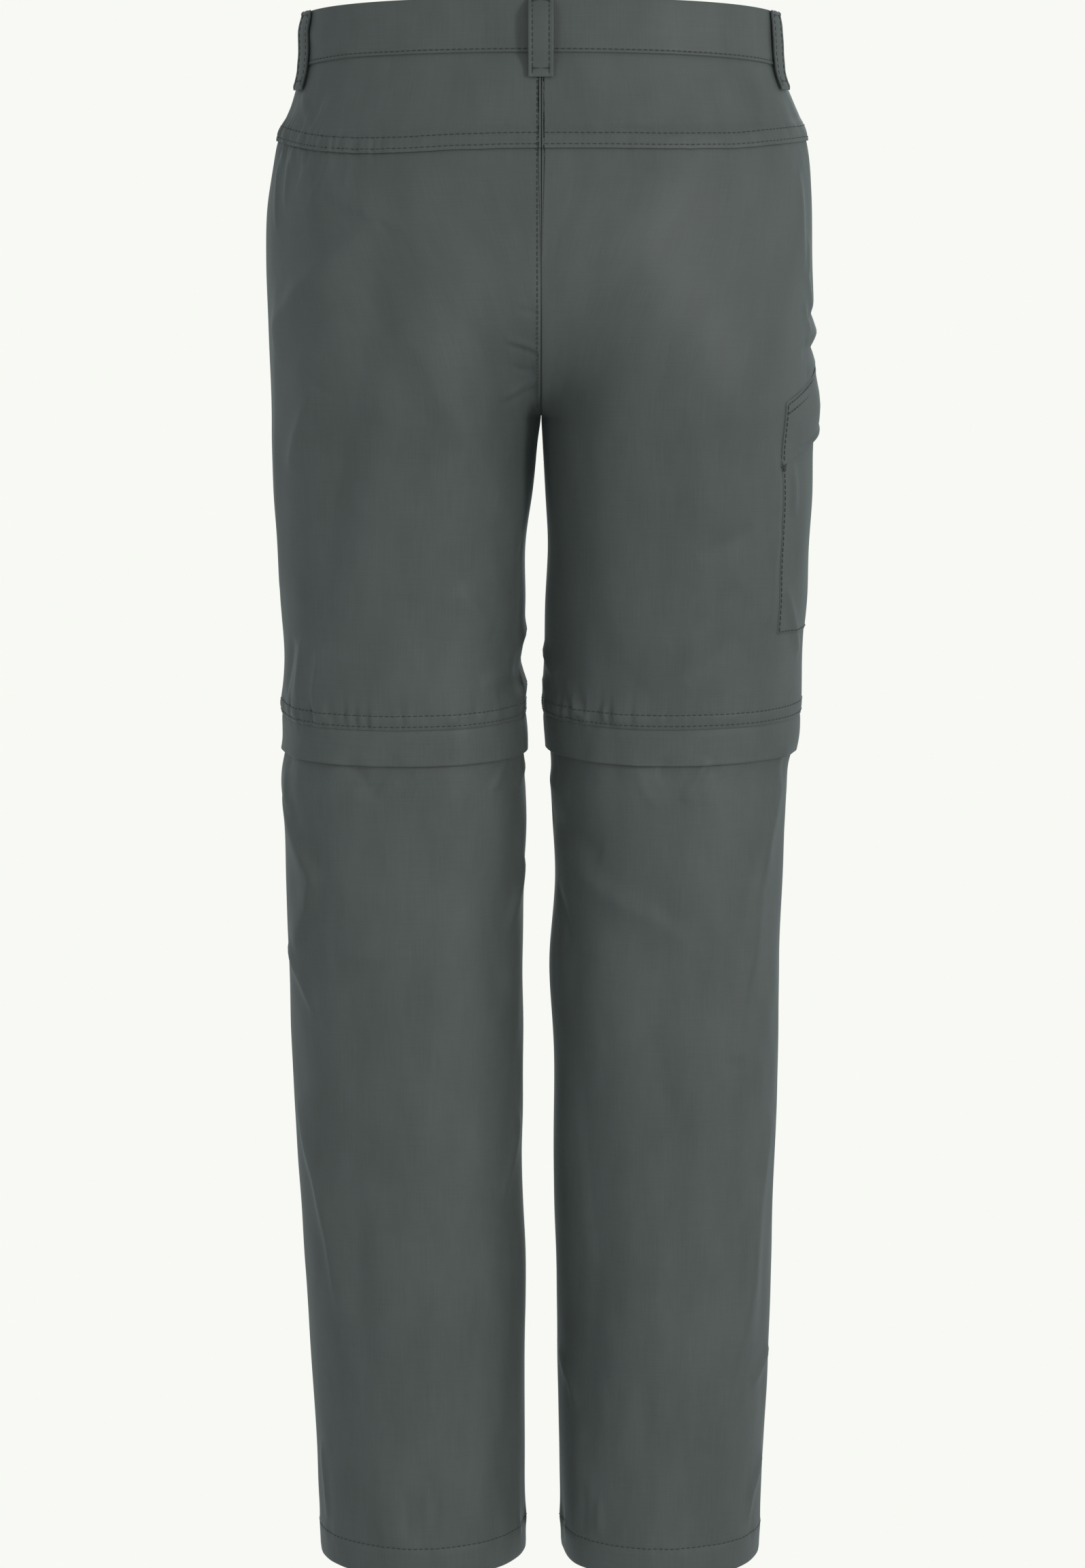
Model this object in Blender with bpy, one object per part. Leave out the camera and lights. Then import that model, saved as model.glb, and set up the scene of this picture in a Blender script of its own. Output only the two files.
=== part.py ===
"""Convertible zip-off trousers, hollow as if worn: a waistband with belt loops, a yoked back, one side
pocket, and lower legs that come off at zips under storm flaps. Metres, +Z up, front towards -Y."""

import math
from typing import NamedTuple

import bmesh
import bpy
import numpy as np

# Heights are drops below the waistband's top edge at the side seam, and z is 0 at the waistband's middle.
WAISTBAND_HEIGHT = 0.036
WAIST_TOP_Z = WAISTBAND_HEIGHT / 2
WAIST_TILT = 0.09
YOKE_DROP = 0.081
YOKE_DIP = 0.006
YOKE_SAG = {"left": 0.006, "right": 0.0025}
YOKE_LAP = 0.008
YOKE_EASE = 0.006
YOKE_STEP = 0.0012
CROTCH_DROP = 0.262
KNEE_DROP = 0.462
KNEE_DIP = 0.004
STORM_FLAP_HEIGHT = 0.024
HEM_DROP = 1.038
HEM_DIP = 0.003
HEM_DEPTH = 0.020
HEM_STEP = 0.002
THIGH_HEM = 0.010

# Cloth
CLOTH = 0.0012
BAND_CLOTH = 0.0024
HEM_CLOTH = 0.0022
LOOP_CLOTH = 0.0014
SEAM_GAP = 0.0003
SEAM_DEG = 0.08
BAND_PROUD = 0.0006
BAND_OVER_END_DEG = -169.0
BAND_UNDER_START_DEG = -179.0
BAND_UNDER_END_DEG = -156.0

# Shape of the seat and fork, and how square the sections are
SEAT_RISE = 0.130
FORK_RISE = 0.110
FORK_TURN_DEG = 115.0
BODY_SQUARENESS = 2.3
LEG_SQUARENESS = 2.15

# Belt loops, fly and button
LOOP_SIDE_DEG = 8.0
LOOP_FRONT_DEG = 6.6
LOOP_BACK_DEG = 6.0
LOOP_SIDE_AT_DEG = 29.0
LOOP_FRONT_AT_DEG = -134.0
LOOP_GAP = 0.0062
LOOP_TOP = 0.0012
LOOP_TACK = 0.0045
LOOP_RISE = 0.0030
LOOP_HANG = 0.0020
LOOP_FALL = 0.0055
LOOP_TAIL = 0.016
FLY_DROP = 0.160
BUTTON_DEG = -177.0
BUTTON_RADIUS = 0.0085
BUTTON_HEIGHT = 0.0032
BUTTON_HOLE_RADIUS = 0.0009
BUTTON_HOLE_SPACING = 0.0032
BUTTON_SIDES = 36
BUTTON_HOLE_SIDES = 12

# Side pocket, on the right leg
POCKET_FRONT_DEG = -36.0
POCKET_REAR_DEG = 39.0
POCKET_FLAP_TOP = 0.228
POCKET_FLAP_HEIGHT = 0.041
POCKET_FLAP_SEWN = 0.007
POCKET_SLANT = 0.023
POCKET_MOUTH = 0.012
POCKET_FOOT = 0.405
POCKET_LIFT = 0.0018
POCKET_SWELL = 0.0020

# Knee zip: the tape lies behind the thigh's edge and the lower leg's edge
ZIP_TAPE = 0.0008
ZIP_WIDTH = 0.024
ZIP_RECESS = 0.0046
ZIP_GAP = 0.009
LEG_RECESS = 0.0022
LEG_EASE = 0.030
FLAP_SUNK = 0.0002
FLAP_PROUD = 0.0010
ZIP_SEWN_RECESS = LEG_RECESS + CLOTH + SEAM_GAP
SLIDER_SIZE = (0.0110, 0.0072, 0.0022)
SLIDER_BEVEL = 0.0006

SIDE = {"left": 1.0, "right": -1.0}
COLUMN_DEG = 12.0
NUDGE_DEG = 1.5
NUDGE = 0.002
MM = 0.001
LEG_RADIUS = 0.09

# The narrowest half width of a fold, in millimetres, that these solids' columns and rows can hold
NARROWEST_FOLD = 15.0


class Section(NamedTuple):
    """Half widths and depths of the trousers at one drop, in millimetres. Front is towards -Y."""

    drop: float
    left_outer: float
    left_inner: float
    right_outer: float
    right_inner: float
    front: float
    back: float
    seam: float


SECTIONS = (
    Section(-12, 156.5, 0, 156.5, 0, -95, 100, 0),
    Section(0, 157.0, 0, 157.0, 0, -96, 102, 0),
    Section(20, 157.8, 0, 157.8, 0, -97, 105, 0),
    Section(37, 160.0, 0, 160.0, 0, -99, 109, 1),
    Section(52, 164.5, 0, 165.0, 0, -101, 113, 2),
    Section(79, 173.7, 0, 173.7, 0, -104, 121, 4),
    Section(115, 179.3, 0, 178.5, 0, -107, 132, 6),
    Section(160, 181.0, 0, 179.7, 0, -108, 140, 8),
    Section(205, 181.3, 0, 180.5, 0, -106, 140, 9),
    Section(240, 180.6, 0, 180.0, 0, -102, 132, 9),
    Section(262, 180.4, 0, 179.8, 0, -99, 125, 9),
    Section(280, 180.6, 2.3, 178.3, 0.9, -98, 119, 8),
    Section(314, 179.9, 5.3, 177.3, 2.7, -96, 110, 6),
    Section(350, 177.6, 9.4, 175.3, 4.5, -94, 102, 4),
    Section(387, 176.7, 9.8, 175.8, 3.8, -92, 96, 2),
    Section(424, 175.0, 12.2, 174.8, 4.0, -90, 91, 0),
    Section(461, 176.3, 9.3, 173.5, 3.0, -88, 87, -1),
    Section(480, 175.0, 8.4, 171.8, 4.6, -87, 85, -1),
    Section(500, 176.8, 9.8, 166.0, 6.4, -85.5, 84, -1),
    Section(535, 173.6, 10.3, 163.6, 7.8, -83, 83, -0.5),
    Section(572, 172.0, 12.6, 163.0, 9.0, -80, 82.5, 0),
    Section(628, 169.8, 12.9, 161.7, 5.8, -76, 82, 2),
    Section(703, 168.6, 13.5, 161.3, 8.8, -72.5, 82, 4),
    Section(778, 164.6, 13.0, 158.0, 9.3, -70, 81, 5),
    Section(854, 160.5, 12.2, 156.7, 12.0, -68.5, 80, 5.5),
    Section(930, 155.8, 12.5, 154.3, 12.3, -67.5, 79, 6),
    Section(988, 153.7, 12.5, 152.2, 12.3, -67, 79, 6),
    Section(1050, 151.4, 12.0, 148.5, 13.5, -66.5, 79, 6),
)


class Fold(NamedTuple):
    """One soft fold. Its path is points in degrees round the leg from the side seam, positive over the
    back, and millimetres of drop. Width is half the fold's width in millimetres, and height is in
    millimetres, negative for a trough."""

    leg: str
    path: tuple
    width: float
    height: float


FOLDS = (
    Fold("left", ((74, 150), (48, 178), (20, 208)), 11, 3.2),
    Fold("left", ((97, 130), (84, 188), (68, 254), (54, 344), (45, 412)), 30, -6.5),
    Fold("left", ((30, 170), (21, 256), (13, 380)), 11, 2.0),
    Fold("left", ((50, 240), (39, 272), (33, 296)), 8, 2.2),
    Fold("left", ((96, 196), (107, 248), (124, 290), (158, 350)), 16, 2.4),
    Fold("left", ((14, 515), (31, 546), (43, 568), (38, 590), (24, 618)), 10, 4.2),
    Fold("left", ((12, 618), (29, 638), (41, 660)), 8, 3.0),
    Fold("left", ((14, 724), (33, 772), (42, 814), (48, 870)), 10, 3.2),
    Fold("left", ((70, 620), (62, 760), (60, 900)), 24, -3.0),
    Fold("left", ((176, 562), (160, 584), (149, 606)), 9, 2.8),
    Fold("right", ((38, 100), (34, 140), (28, 172)), 9, 2.5),
    Fold("right", ((41, 300), (42, 340), (45, 400)), 9, 2.5),
    Fold("right", ((40, 334), (71, 388), (104, 440)), 16, 2.2),
    Fold("right", ((180, 534), (145, 540), (128, 552)), 10, -2.8),
    Fold("right", ((150, 562), (120, 578), (101, 590), (82, 608)), 11, 3.0),
    Fold("right", ((28, 478), (24, 510), (33, 538), (42, 575), (44, 618), (51, 654), (56, 690)), 10, 4.0),
    Fold("right", ((20, 732), (33, 788), (39, 842), (55, 916), (68, 952)), 11, 3.5),
    Fold("right", ((142, 690), (129, 824), (144, 950)), 22, -2.8),
    Fold("left", ((-60, 150), (-95, 210), (-130, 240)), 14, 2.5),
    Fold("left", ((-40, 360), (-85, 410), (-135, 430)), 16, 2.8),
    Fold("left", ((-30, 510), (-80, 548), (-130, 560)), 15, 3.2),
    Fold("left", ((-150, 590), (-100, 625), (-60, 640)), 15, 2.5),
    Fold("left", ((-50, 720), (-70, 850), (-64, 960)), 18, 2.5),
    Fold("right", ((-64, 150), (-100, 214), (-135, 242)), 14, 2.4),
    Fold("right", ((-60, 380), (-100, 420), (-145, 438)), 15, 2.5),
    Fold("right", ((-36, 515), (-84, 545), (-136, 552)), 15, 3.1),
    Fold("right", ((-152, 600), (-110, 622), (-70, 650)), 14, 2.6),
    Fold("right", ((-76, 700), (-62, 830), (-80, 970)), 18, 2.6),
)


def smooth(share):
    """0 to 1 along an S curve, held flat outside that range."""
    share = np.clip(share, 0.0, 1.0)
    return share * share * (3 - 2 * share)


def curve_through(stations, values):
    """A smooth curve through the values at the stations."""
    stations, values = np.array(stations, float), np.array(values, float)
    slopes = np.gradient(values, stations)

    def at(where):
        where = np.clip(where, stations[0], stations[-1])
        low = np.clip(np.searchsorted(stations, where, side="right") - 1, 0, len(stations) - 2)
        step = stations[low + 1] - stations[low]
        t = (where - stations[low]) / step
        ease_in, ease_out = t * (1 - t) ** 2 * step, t * t * (t - 1) * step
        blend = t * t * (3 - 2 * t)
        ends = values[low] * (1 - blend) + values[low + 1] * blend
        return ends + slopes[low] * ease_in + slopes[low + 1] * ease_out

    return at


def column(field):
    """One column of the section table as a curve over the drop, in metres."""
    return curve_through([row.drop * MM for row in SECTIONS], [getattr(row, field) * MM for row in SECTIONS])


OUTER = {leg: column(f"{leg}_outer") for leg in SIDE}
INNER = {leg: column(f"{leg}_inner") for leg in SIDE}
FRONT, BACK, SEAM = column("front"), column("back"), column("seam")


def bulge(share, squareness):
    """Depth of a rounded section at a share of its half width, from 1 in the middle to 0 at the edge."""
    return np.maximum(1 - np.abs(share) ** squareness, 0) ** (1 / squareness)


def leg_share(angle, drop):
    """How far the cloth has left the body's section for the leg's. It eases in over the middle of the
    leg, and turns under sharply at the centre seam: the seat and fork curves."""
    rise = np.where(angle >= 0, SEAT_RISE, FORK_RISE)
    near_fork = np.clip((drop - CROTCH_DROP) / rise + 1, 0, 1)
    sharpness = smooth((np.abs(angle) - FORK_TURN_DEG) / (180 - FORK_TURN_DEG))
    return 1 - (1 - near_fork ** (2 + sharpness)) ** (2 - 1.5 * sharpness)


def cloth_point(leg, angle, drop):
    """Points of the smooth cloth. The angle goes round the leg in degrees from the side seam at 0, over
    the back (positive) or the front (negative), to the inseam or the centre seam at 180."""
    angle, drop = np.broadcast_arrays(np.asarray(angle, float), np.asarray(drop, float))
    outer = OUTER[leg](drop)
    inner = np.maximum(INNER[leg](drop), SEAM_GAP / 2)
    seam = SEAM(drop)
    depth = np.where(angle >= 0, BACK(drop), FRONT(drop)) - seam
    spread = 1 + smooth((drop - YOKE_DROP) / (CROTCH_DROP - YOKE_DROP))
    across = np.maximum(np.cos(np.radians(np.abs(angle)) / 2), 0) ** spread
    x = inner + (outer - inner) * across
    body = bulge(x / outer, BODY_SQUARENESS)
    limb = bulge(2 * across - 1, LEG_SQUARENESS)
    share = leg_share(angle, drop)
    y = seam + depth * ((1 - share) * body + share * limb)
    return np.stack((SIDE[leg] * x, y, WAIST_TOP_Z - drop), axis=-1)


def cloth_normal(leg, angle, drop):
    """Outward directions of the smooth cloth."""
    before, after = np.maximum(angle - NUDGE_DEG, -180), np.minimum(angle + NUDGE_DEG, 180)
    along = cloth_point(leg, after, drop) - cloth_point(leg, before, drop)
    down = cloth_point(leg, angle, drop + NUDGE) - cloth_point(leg, angle, drop - NUDGE)
    normal = np.cross(down, along) * SIDE[leg]
    return normal / np.linalg.norm(normal, axis=-1, keepdims=True)


def fold_height(leg, angle, drop):
    """Height of the folds over the smooth cloth."""
    total = np.zeros(np.broadcast(angle, drop).shape)
    scale = np.array((math.radians(1) * LEG_RADIUS, MM))
    where = np.stack(np.broadcast_arrays(angle * scale[0], drop), axis=-1)
    for fold in FOLDS:
        if fold.leg != leg:
            continue
        path = np.array(fold.path, float) * scale
        runs = np.diff(path, axis=0)
        lengths = np.linalg.norm(runs, axis=1)
        travelled = np.concatenate(((0,), np.cumsum(lengths)))
        nearest, along = np.full(total.shape, np.inf), np.zeros(total.shape)
        for start, run, length, before in zip(path, runs, lengths, travelled):
            offset = where - start
            share = np.clip(offset @ run / length**2, 0, 1)
            distance = np.linalg.norm(offset - share[..., None] * run, axis=-1)
            nearer = distance < nearest
            nearest = np.where(nearer, distance, nearest)
            along = np.where(nearer, (before + share * length) / travelled[-1], along)
        fade = np.sqrt(np.maximum(4 * along * (1 - along), 0))
        width = max(fold.width, NARROWEST_FOLD) * MM
        total += fold.height * MM * fade * np.exp(-((nearest / width) ** 2))
    return total


def lifted(leg, angle, drop, lift):
    """Points at a height over the folded cloth, and the directions out of it."""
    normal = cloth_normal(leg, angle, drop)
    height = np.asarray(lift + fold_height(leg, angle, drop))
    return cloth_point(leg, angle, drop) + normal * height[..., None], normal


def waist_line(leg, angle, height):
    """Drop of a line that follows the tilted waist, a height below its top edge."""
    return height - WAIST_TILT * cloth_point(leg, angle, height)[..., 1]


def yoke_line(leg, angle):
    """Drop of the yoke's lower edge, which sags between the side seam and the centre back."""
    turn = np.radians(angle)
    return YOKE_DROP + YOKE_DIP * np.sin(turn / 2) ** 2 + YOKE_SAG[leg] * np.sin(turn) ** 2


def knee_line(angle):
    return KNEE_DROP + KNEE_DIP * np.sin(np.radians(angle))


def hem_line(angle):
    return HEM_DROP + HEM_DIP * np.sin(np.radians(angle))


def leveled(levels, top, bottom):
    """Rows of drops, one for each level, that bend to follow the top and bottom lines near them."""
    reach = 0.08
    levels = np.array(levels)[:, None]
    near_top = np.clip(1 - (levels - levels[0]) / reach, 0, 1)
    near_bottom = np.clip(1 - (levels[-1] - levels) / reach, 0, 1)
    return levels + (top - levels[0]) * near_top + (bottom - levels[-1]) * near_bottom


def add_object(name, mesh, material, sharp_deg=40):
    mesh.materials.append(material)
    mesh.shade_smooth()
    mesh.set_sharp_from_angle(angle=math.radians(sharp_deg))
    piece = bpy.data.objects.new(name, mesh)
    bpy.context.scene.collection.objects.link(piece)
    return piece


def wall_mesh(name, outer, inner, closed):
    """A closed wall between two grids of points, as a ring where its columns close."""
    rows, columns = outer.shape[:2]
    mesh = bmesh.new()
    sheets = [[[mesh.verts.new(point) for point in row] for row in grid] for grid in (outer, inner)]
    front, behind = sheets
    steps = range(columns if closed else columns - 1)
    for r in range(rows - 1):
        for c in steps:
            n = (c + 1) % columns
            mesh.faces.new((front[r][c], front[r][n], front[r + 1][n], front[r + 1][c]))
            mesh.faces.new((behind[r][c], behind[r + 1][c], behind[r + 1][n], behind[r][n]))
    for c in steps:
        n = (c + 1) % columns
        mesh.faces.new((front[0][n], front[0][c], behind[0][c], behind[0][n]))
        mesh.faces.new((front[-1][c], front[-1][n], behind[-1][n], behind[-1][c]))
    for r in range(0 if closed else rows - 1):
        mesh.faces.new((front[r][0], front[r + 1][0], behind[r + 1][0], behind[r][0]))
        mesh.faces.new((front[r + 1][-1], front[r][-1], behind[r][-1], behind[r + 1][-1]))
    bmesh.ops.recalc_face_normals(mesh, faces=mesh.faces)
    data = bpy.data.meshes.new(name)
    mesh.to_mesh(data)
    mesh.free()
    return data


def cloth_wall(name, material, columns, drops, lift=0.0, wall=CLOTH, closed=False):
    """One cut piece of cloth. Columns are (leg, angle) pairs, and drops, lift and wall may vary by row
    and column."""
    shape = (drops.shape[0], len(columns))
    drops, lift, wall = (np.broadcast_to(value, shape) for value in (drops, lift, wall))
    outer, inner = np.zeros((*shape, 3)), np.zeros((*shape, 3))
    for c, (leg, angle) in enumerate(columns):
        outer[:, c], normal = lifted(leg, np.full(shape[0], float(angle)), drops[:, c], lift[:, c])
        inner[:, c] = outer[:, c] - normal * wall[:, c, None]
    return add_object(name, wall_mesh(name, outer, inner, closed), material)


def half_round(leg, facing):
    """Columns of a panel from its side seam to its inner seam."""
    angles = np.arange(0, 180 + COLUMN_DEG / 2, COLUMN_DEG)
    angles[0], angles[-1] = SEAM_DEG, 180 - SEAM_DEG
    return [(leg, facing * angle) for angle in angles]


def all_round(leg):
    """Columns of a ring round one leg."""
    return [(leg, angle) for angle in np.arange(-180 + COLUMN_DEG, 180 + COLUMN_DEG / 2, COLUMN_DEG)]


def angles_of(columns):
    return np.array([angle for _, angle in columns])


def waist_lines(columns, height):
    """Drop of a waist line at each column."""
    return np.array([waist_line(leg, angle, height) for leg, angle in columns])


def cloth_material(name, colour, roughness, metallic=0.0):
    material = bpy.data.materials.new(name)
    material.use_nodes = True
    shader = material.node_tree.nodes["Principled BSDF"]
    shader.inputs["Base Color"].default_value = (*colour, 1)
    shader.inputs["Roughness"].default_value = roughness
    shader.inputs["Metallic"].default_value = metallic
    return material


def build_waistband(material):
    """One strip from the overlapping left end, round the back, to the right end tucked behind it."""
    left = [("left", angle) for angle in np.arange(-180, 180 + COLUMN_DEG / 2, COLUMN_DEG)]
    right = [("right", angle) for angle in np.arange(180 - COLUMN_DEG, -180, -COLUMN_DEG)]
    under = [("left", BAND_UNDER_START_DEG), ("left", BAND_UNDER_END_DEG)]
    columns = [("right", BAND_OVER_END_DEG), *left, *right, *under]
    lines = [waist_lines(columns, WAISTBAND_HEIGHT * share) for share in (0, 0.5, 1)]
    lines[-1] = lines[-1] - SEAM_GAP
    lift = np.full(len(columns), BAND_PROUD)
    lift[-3:] -= BAND_CLOTH + 2 * SEAM_GAP
    cloth_wall("waistband", material, columns, np.array(lines), lift, BAND_CLOTH)


def build_yoke(leg, material):
    """Back yoke, whose lower edge laps over the back panel."""
    columns = half_round(leg, 1)
    top = waist_lines(columns, WAISTBAND_HEIGHT) + SEAM_GAP
    bottom = yoke_line(leg, angles_of(columns))
    above_edge = np.array((YOKE_LAP + YOKE_EASE, YOKE_LAP + YOKE_STEP, 0))[:, None]
    drops = np.vstack((top, (top + bottom) / 2 - above_edge[0], bottom - above_edge))
    lift = np.array((0, 0, 0, 1, 1))[:, None] * (CLOTH + SEAM_GAP)
    cloth_wall(f"yoke_{leg}", material, columns, drops, lift)


# Rows of a thigh panel: how far they lie over and below the fork, and how many more there are
OVER_FORK = (0.0012, 0.0045, 0.010, 0.018, 0.029, 0.044)
BELOW_FORK = (0.004, 0.012, 0.030)
SEAT_ROWS = 6
THIGH_ROWS = 8


def thigh_levels(top):
    """Rows of a thigh panel, close together where the seat and fork curves turn under."""
    over = [CROTCH_DROP - step for step in reversed(OVER_FORK)]
    below = [CROTCH_DROP + step for step in BELOW_FORK]
    seat = np.linspace(top, over[0], SEAT_ROWS)[:-1]
    thigh = np.linspace(below[-1], KNEE_DROP, THIGH_ROWS)[1:]
    return [*seat, *over, CROTCH_DROP, *below, *thigh]


def thigh_wall(drops):
    """The cloth is doubled where the thigh's lower edge is turned up."""
    return np.where(drops > KNEE_DROP - THIGH_HEM, HEM_CLOTH, CLOTH)


def build_back(leg, material):
    columns = half_round(leg, 1)
    angles = angles_of(columns)
    levels = thigh_levels(YOKE_DROP)
    drops = leveled(levels, yoke_line(leg, angles) - YOKE_LAP, knee_line(angles))
    cloth_wall(f"back_{leg}", material, columns, drops)


def build_front(leg, material):
    columns = half_round(leg, -1)
    top = waist_lines(columns, WAISTBAND_HEIGHT) + SEAM_GAP
    drops = leveled(thigh_levels(WAISTBAND_HEIGHT), top, knee_line(angles_of(columns)))
    cloth_wall(f"front_{leg}", material, columns, drops)


def build_knee_flap(leg, material):
    """Storm flap, sewn on behind the thigh's lower edge and hanging over the zip."""
    columns = all_round(leg)
    top = knee_line(angles_of(columns)) + SEAM_GAP
    drops = top + np.linspace(0, STORM_FLAP_HEIGHT, 4)[:, None]
    lift = np.linspace(-FLAP_SUNK, FLAP_PROUD, 4)[:, None]
    cloth_wall(f"knee_flap_{leg}", material, columns, drops, lift, closed=True)


def build_knee_zip(leg, material):
    """Zip tape behind the thigh's edge and the lower leg's edge."""
    columns = all_round(leg)
    middle = knee_line(angles_of(columns)) + ZIP_GAP / 2
    drops = middle + np.array((-0.5, -0.2, 0.2, 0.5))[:, None] * ZIP_WIDTH
    behind_hem = HEM_CLOTH + SEAM_GAP
    lift = -np.array((behind_hem, ZIP_RECESS, ZIP_RECESS, ZIP_SEWN_RECESS))[:, None]
    cloth_wall(f"knee_zip_{leg}", material, columns, drops, lift, ZIP_TAPE, closed=True)


def build_slider(leg, material):
    """Zip slider at the outer side, on the tape and under the flap."""
    size = np.array(SLIDER_SIZE)
    drop = KNEE_DROP + ZIP_GAP / 2
    point, normal = lifted(leg, np.array(0.0), np.array(drop), -ZIP_RECESS + SEAM_GAP + size[2] / 2)
    mesh = bmesh.new()
    bmesh.ops.create_cube(mesh, size=1)
    bmesh.ops.scale(mesh, vec=(size[2], size[0], size[1]), verts=mesh.verts)
    bmesh.ops.bevel(mesh, geom=mesh.edges[:], offset=SLIDER_BEVEL, segments=1, affect="EDGES")
    data = bpy.data.meshes.new(f"zip_slider_{leg}")
    mesh.to_mesh(data)
    mesh.free()
    slider = add_object(f"zip_slider_{leg}", data, material)
    slider.location = point
    slider.rotation_euler.z = math.atan2(normal[1], normal[0])


# Rows of a lower leg, below the knee's line, and how many more follow down to the hem
BELOW_KNEE = (ZIP_GAP, 0.020, 0.034, 0.052, 0.074)
CALF_ROWS = 17


def build_lower_leg(leg, facing, material):
    """Front or back of the part that comes off, from behind the flap to the turned-up hem."""
    columns = half_round(leg, facing)
    angles = angles_of(columns)
    top = knee_line(angles) + ZIP_GAP
    hem_top = HEM_DROP - HEM_DEPTH
    knee = [KNEE_DROP + step for step in BELOW_KNEE]
    calf = np.linspace(knee[-1], hem_top - HEM_STEP, CALF_ROWS)[1:]
    drops = leveled([*knee, *calf, hem_top, HEM_DROP], top, hem_line(angles))
    lift = -LEG_RECESS * (1 - smooth((drops - KNEE_DROP - STORM_FLAP_HEIGHT) / LEG_EASE))
    wall = np.where(drops > hem_top - HEM_STEP / 2, HEM_CLOTH, CLOTH)
    face = "back" if facing > 0 else "front"
    cloth_wall(f"lower_{face}_{leg}", material, columns, drops, lift, wall)


def build_loop(name, columns, material):
    """Belt loop: tacked at the waistband's top edge and below the waist seam, standing off between."""
    seat = BAND_PROUD + SEAM_GAP + LOOP_CLOTH
    stand = BAND_PROUD + LOOP_GAP + LOOP_CLOTH
    below = WAISTBAND_HEIGHT + LOOP_HANG
    profile = (
        (LOOP_TOP, seat),
        (LOOP_TACK, seat),
        (LOOP_TACK + LOOP_RISE, stand),
        (WAISTBAND_HEIGHT / 2, stand),
        (below, stand),
        (below + LOOP_FALL, seat),
        (WAISTBAND_HEIGHT + LOOP_TAIL, seat),
    )
    middle = columns[len(columns) // 2]
    drops = np.array([[waist_line(*middle, height)] for height, _ in profile])
    lift = np.array([[lift] for _, lift in profile])
    cloth_wall(name, material, columns, drops, lift, LOOP_CLOTH)


def loop_columns(leg, angle, half_deg):
    """Three columns across a loop that is centred at this angle of the waistband."""
    return [(leg, angle - half_deg), (leg, angle), (leg, angle + half_deg)]


def pocket_line(angles, start):
    """Drop of a slanted pocket line, higher towards the front."""
    return start + POCKET_SLANT * angles / POCKET_REAR_DEG


class FlapRow(NamedTuple):
    """A row of the pocket's flap: its drop below the flap's top, whether it clears the pocket's cloth,
    and how much of the pocket's swell it follows."""

    drop: float
    clear: int
    swell: float


FLAP_ROWS = (
    FlapRow(0, 0, 0),
    FlapRow(POCKET_FLAP_SEWN, 0, 0),
    FlapRow(2 * POCKET_FLAP_SEWN, 1, 0.6),
    FlapRow(0.024, 1, 1.0),
    FlapRow(POCKET_FLAP_HEIGHT, 1, 1.0),
)


def build_pocket(material):
    """Pocket patch over the side seam, and the flap that covers its mouth."""
    angles = np.array((*np.arange(POCKET_FRONT_DEG, POCKET_REAR_DEG, COLUMN_DEG), POCKET_REAR_DEG))
    columns = [("right", angle) for angle in angles]
    mouth = pocket_line(angles, POCKET_FLAP_TOP + POCKET_MOUTH)
    share = np.linspace(0, 1, 8)[:, None]
    drops = mouth * (1 - share) + POCKET_FOOT * share
    across = np.maximum(np.cos(np.radians(angles) * 90 / POCKET_FRONT_DEG), 0)
    swell = POCKET_SWELL * np.sin(math.pi * share) * across
    cloth_wall("pocket", material, columns, drops, POCKET_LIFT + swell)
    top = pocket_line(angles, POCKET_FLAP_TOP)
    drops = np.array([top + row.drop for row in FLAP_ROWS])
    lift = np.array([[row.clear * (CLOTH + SEAM_GAP) + row.swell * POCKET_SWELL] for row in FLAP_ROWS])
    cloth_wall("pocket_flap", material, columns, drops, POCKET_LIFT + lift)


class FlyColumn(NamedTuple):
    """A column of the fly, and how far its lower end is rounded up."""

    leg: str
    angle: float
    corner: float


FLY_COLUMNS = (
    FlyColumn("right", -177.0, 0),
    FlyColumn("left", -180.0, 0),
    FlyColumn("left", -168.0, 0.0015),
    FlyColumn("left", -156.0, 0.008),
    FlyColumn("left", -150.0, 0.022),
)


def build_fly(material):
    """Fly placket over the centre front, rounded at its lower corner."""
    columns = [(column.leg, column.angle) for column in FLY_COLUMNS]
    top = waist_lines(columns, WAISTBAND_HEIGHT) + SEAM_GAP
    corner = np.array([column.corner for column in FLY_COLUMNS])
    share = np.linspace(0, 1, 7)[:, None]
    drops = top * (1 - share) + (FLY_DROP - corner) * share
    cloth_wall("fly", material, columns, drops, CLOTH + 2 * SEAM_GAP)


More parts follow.
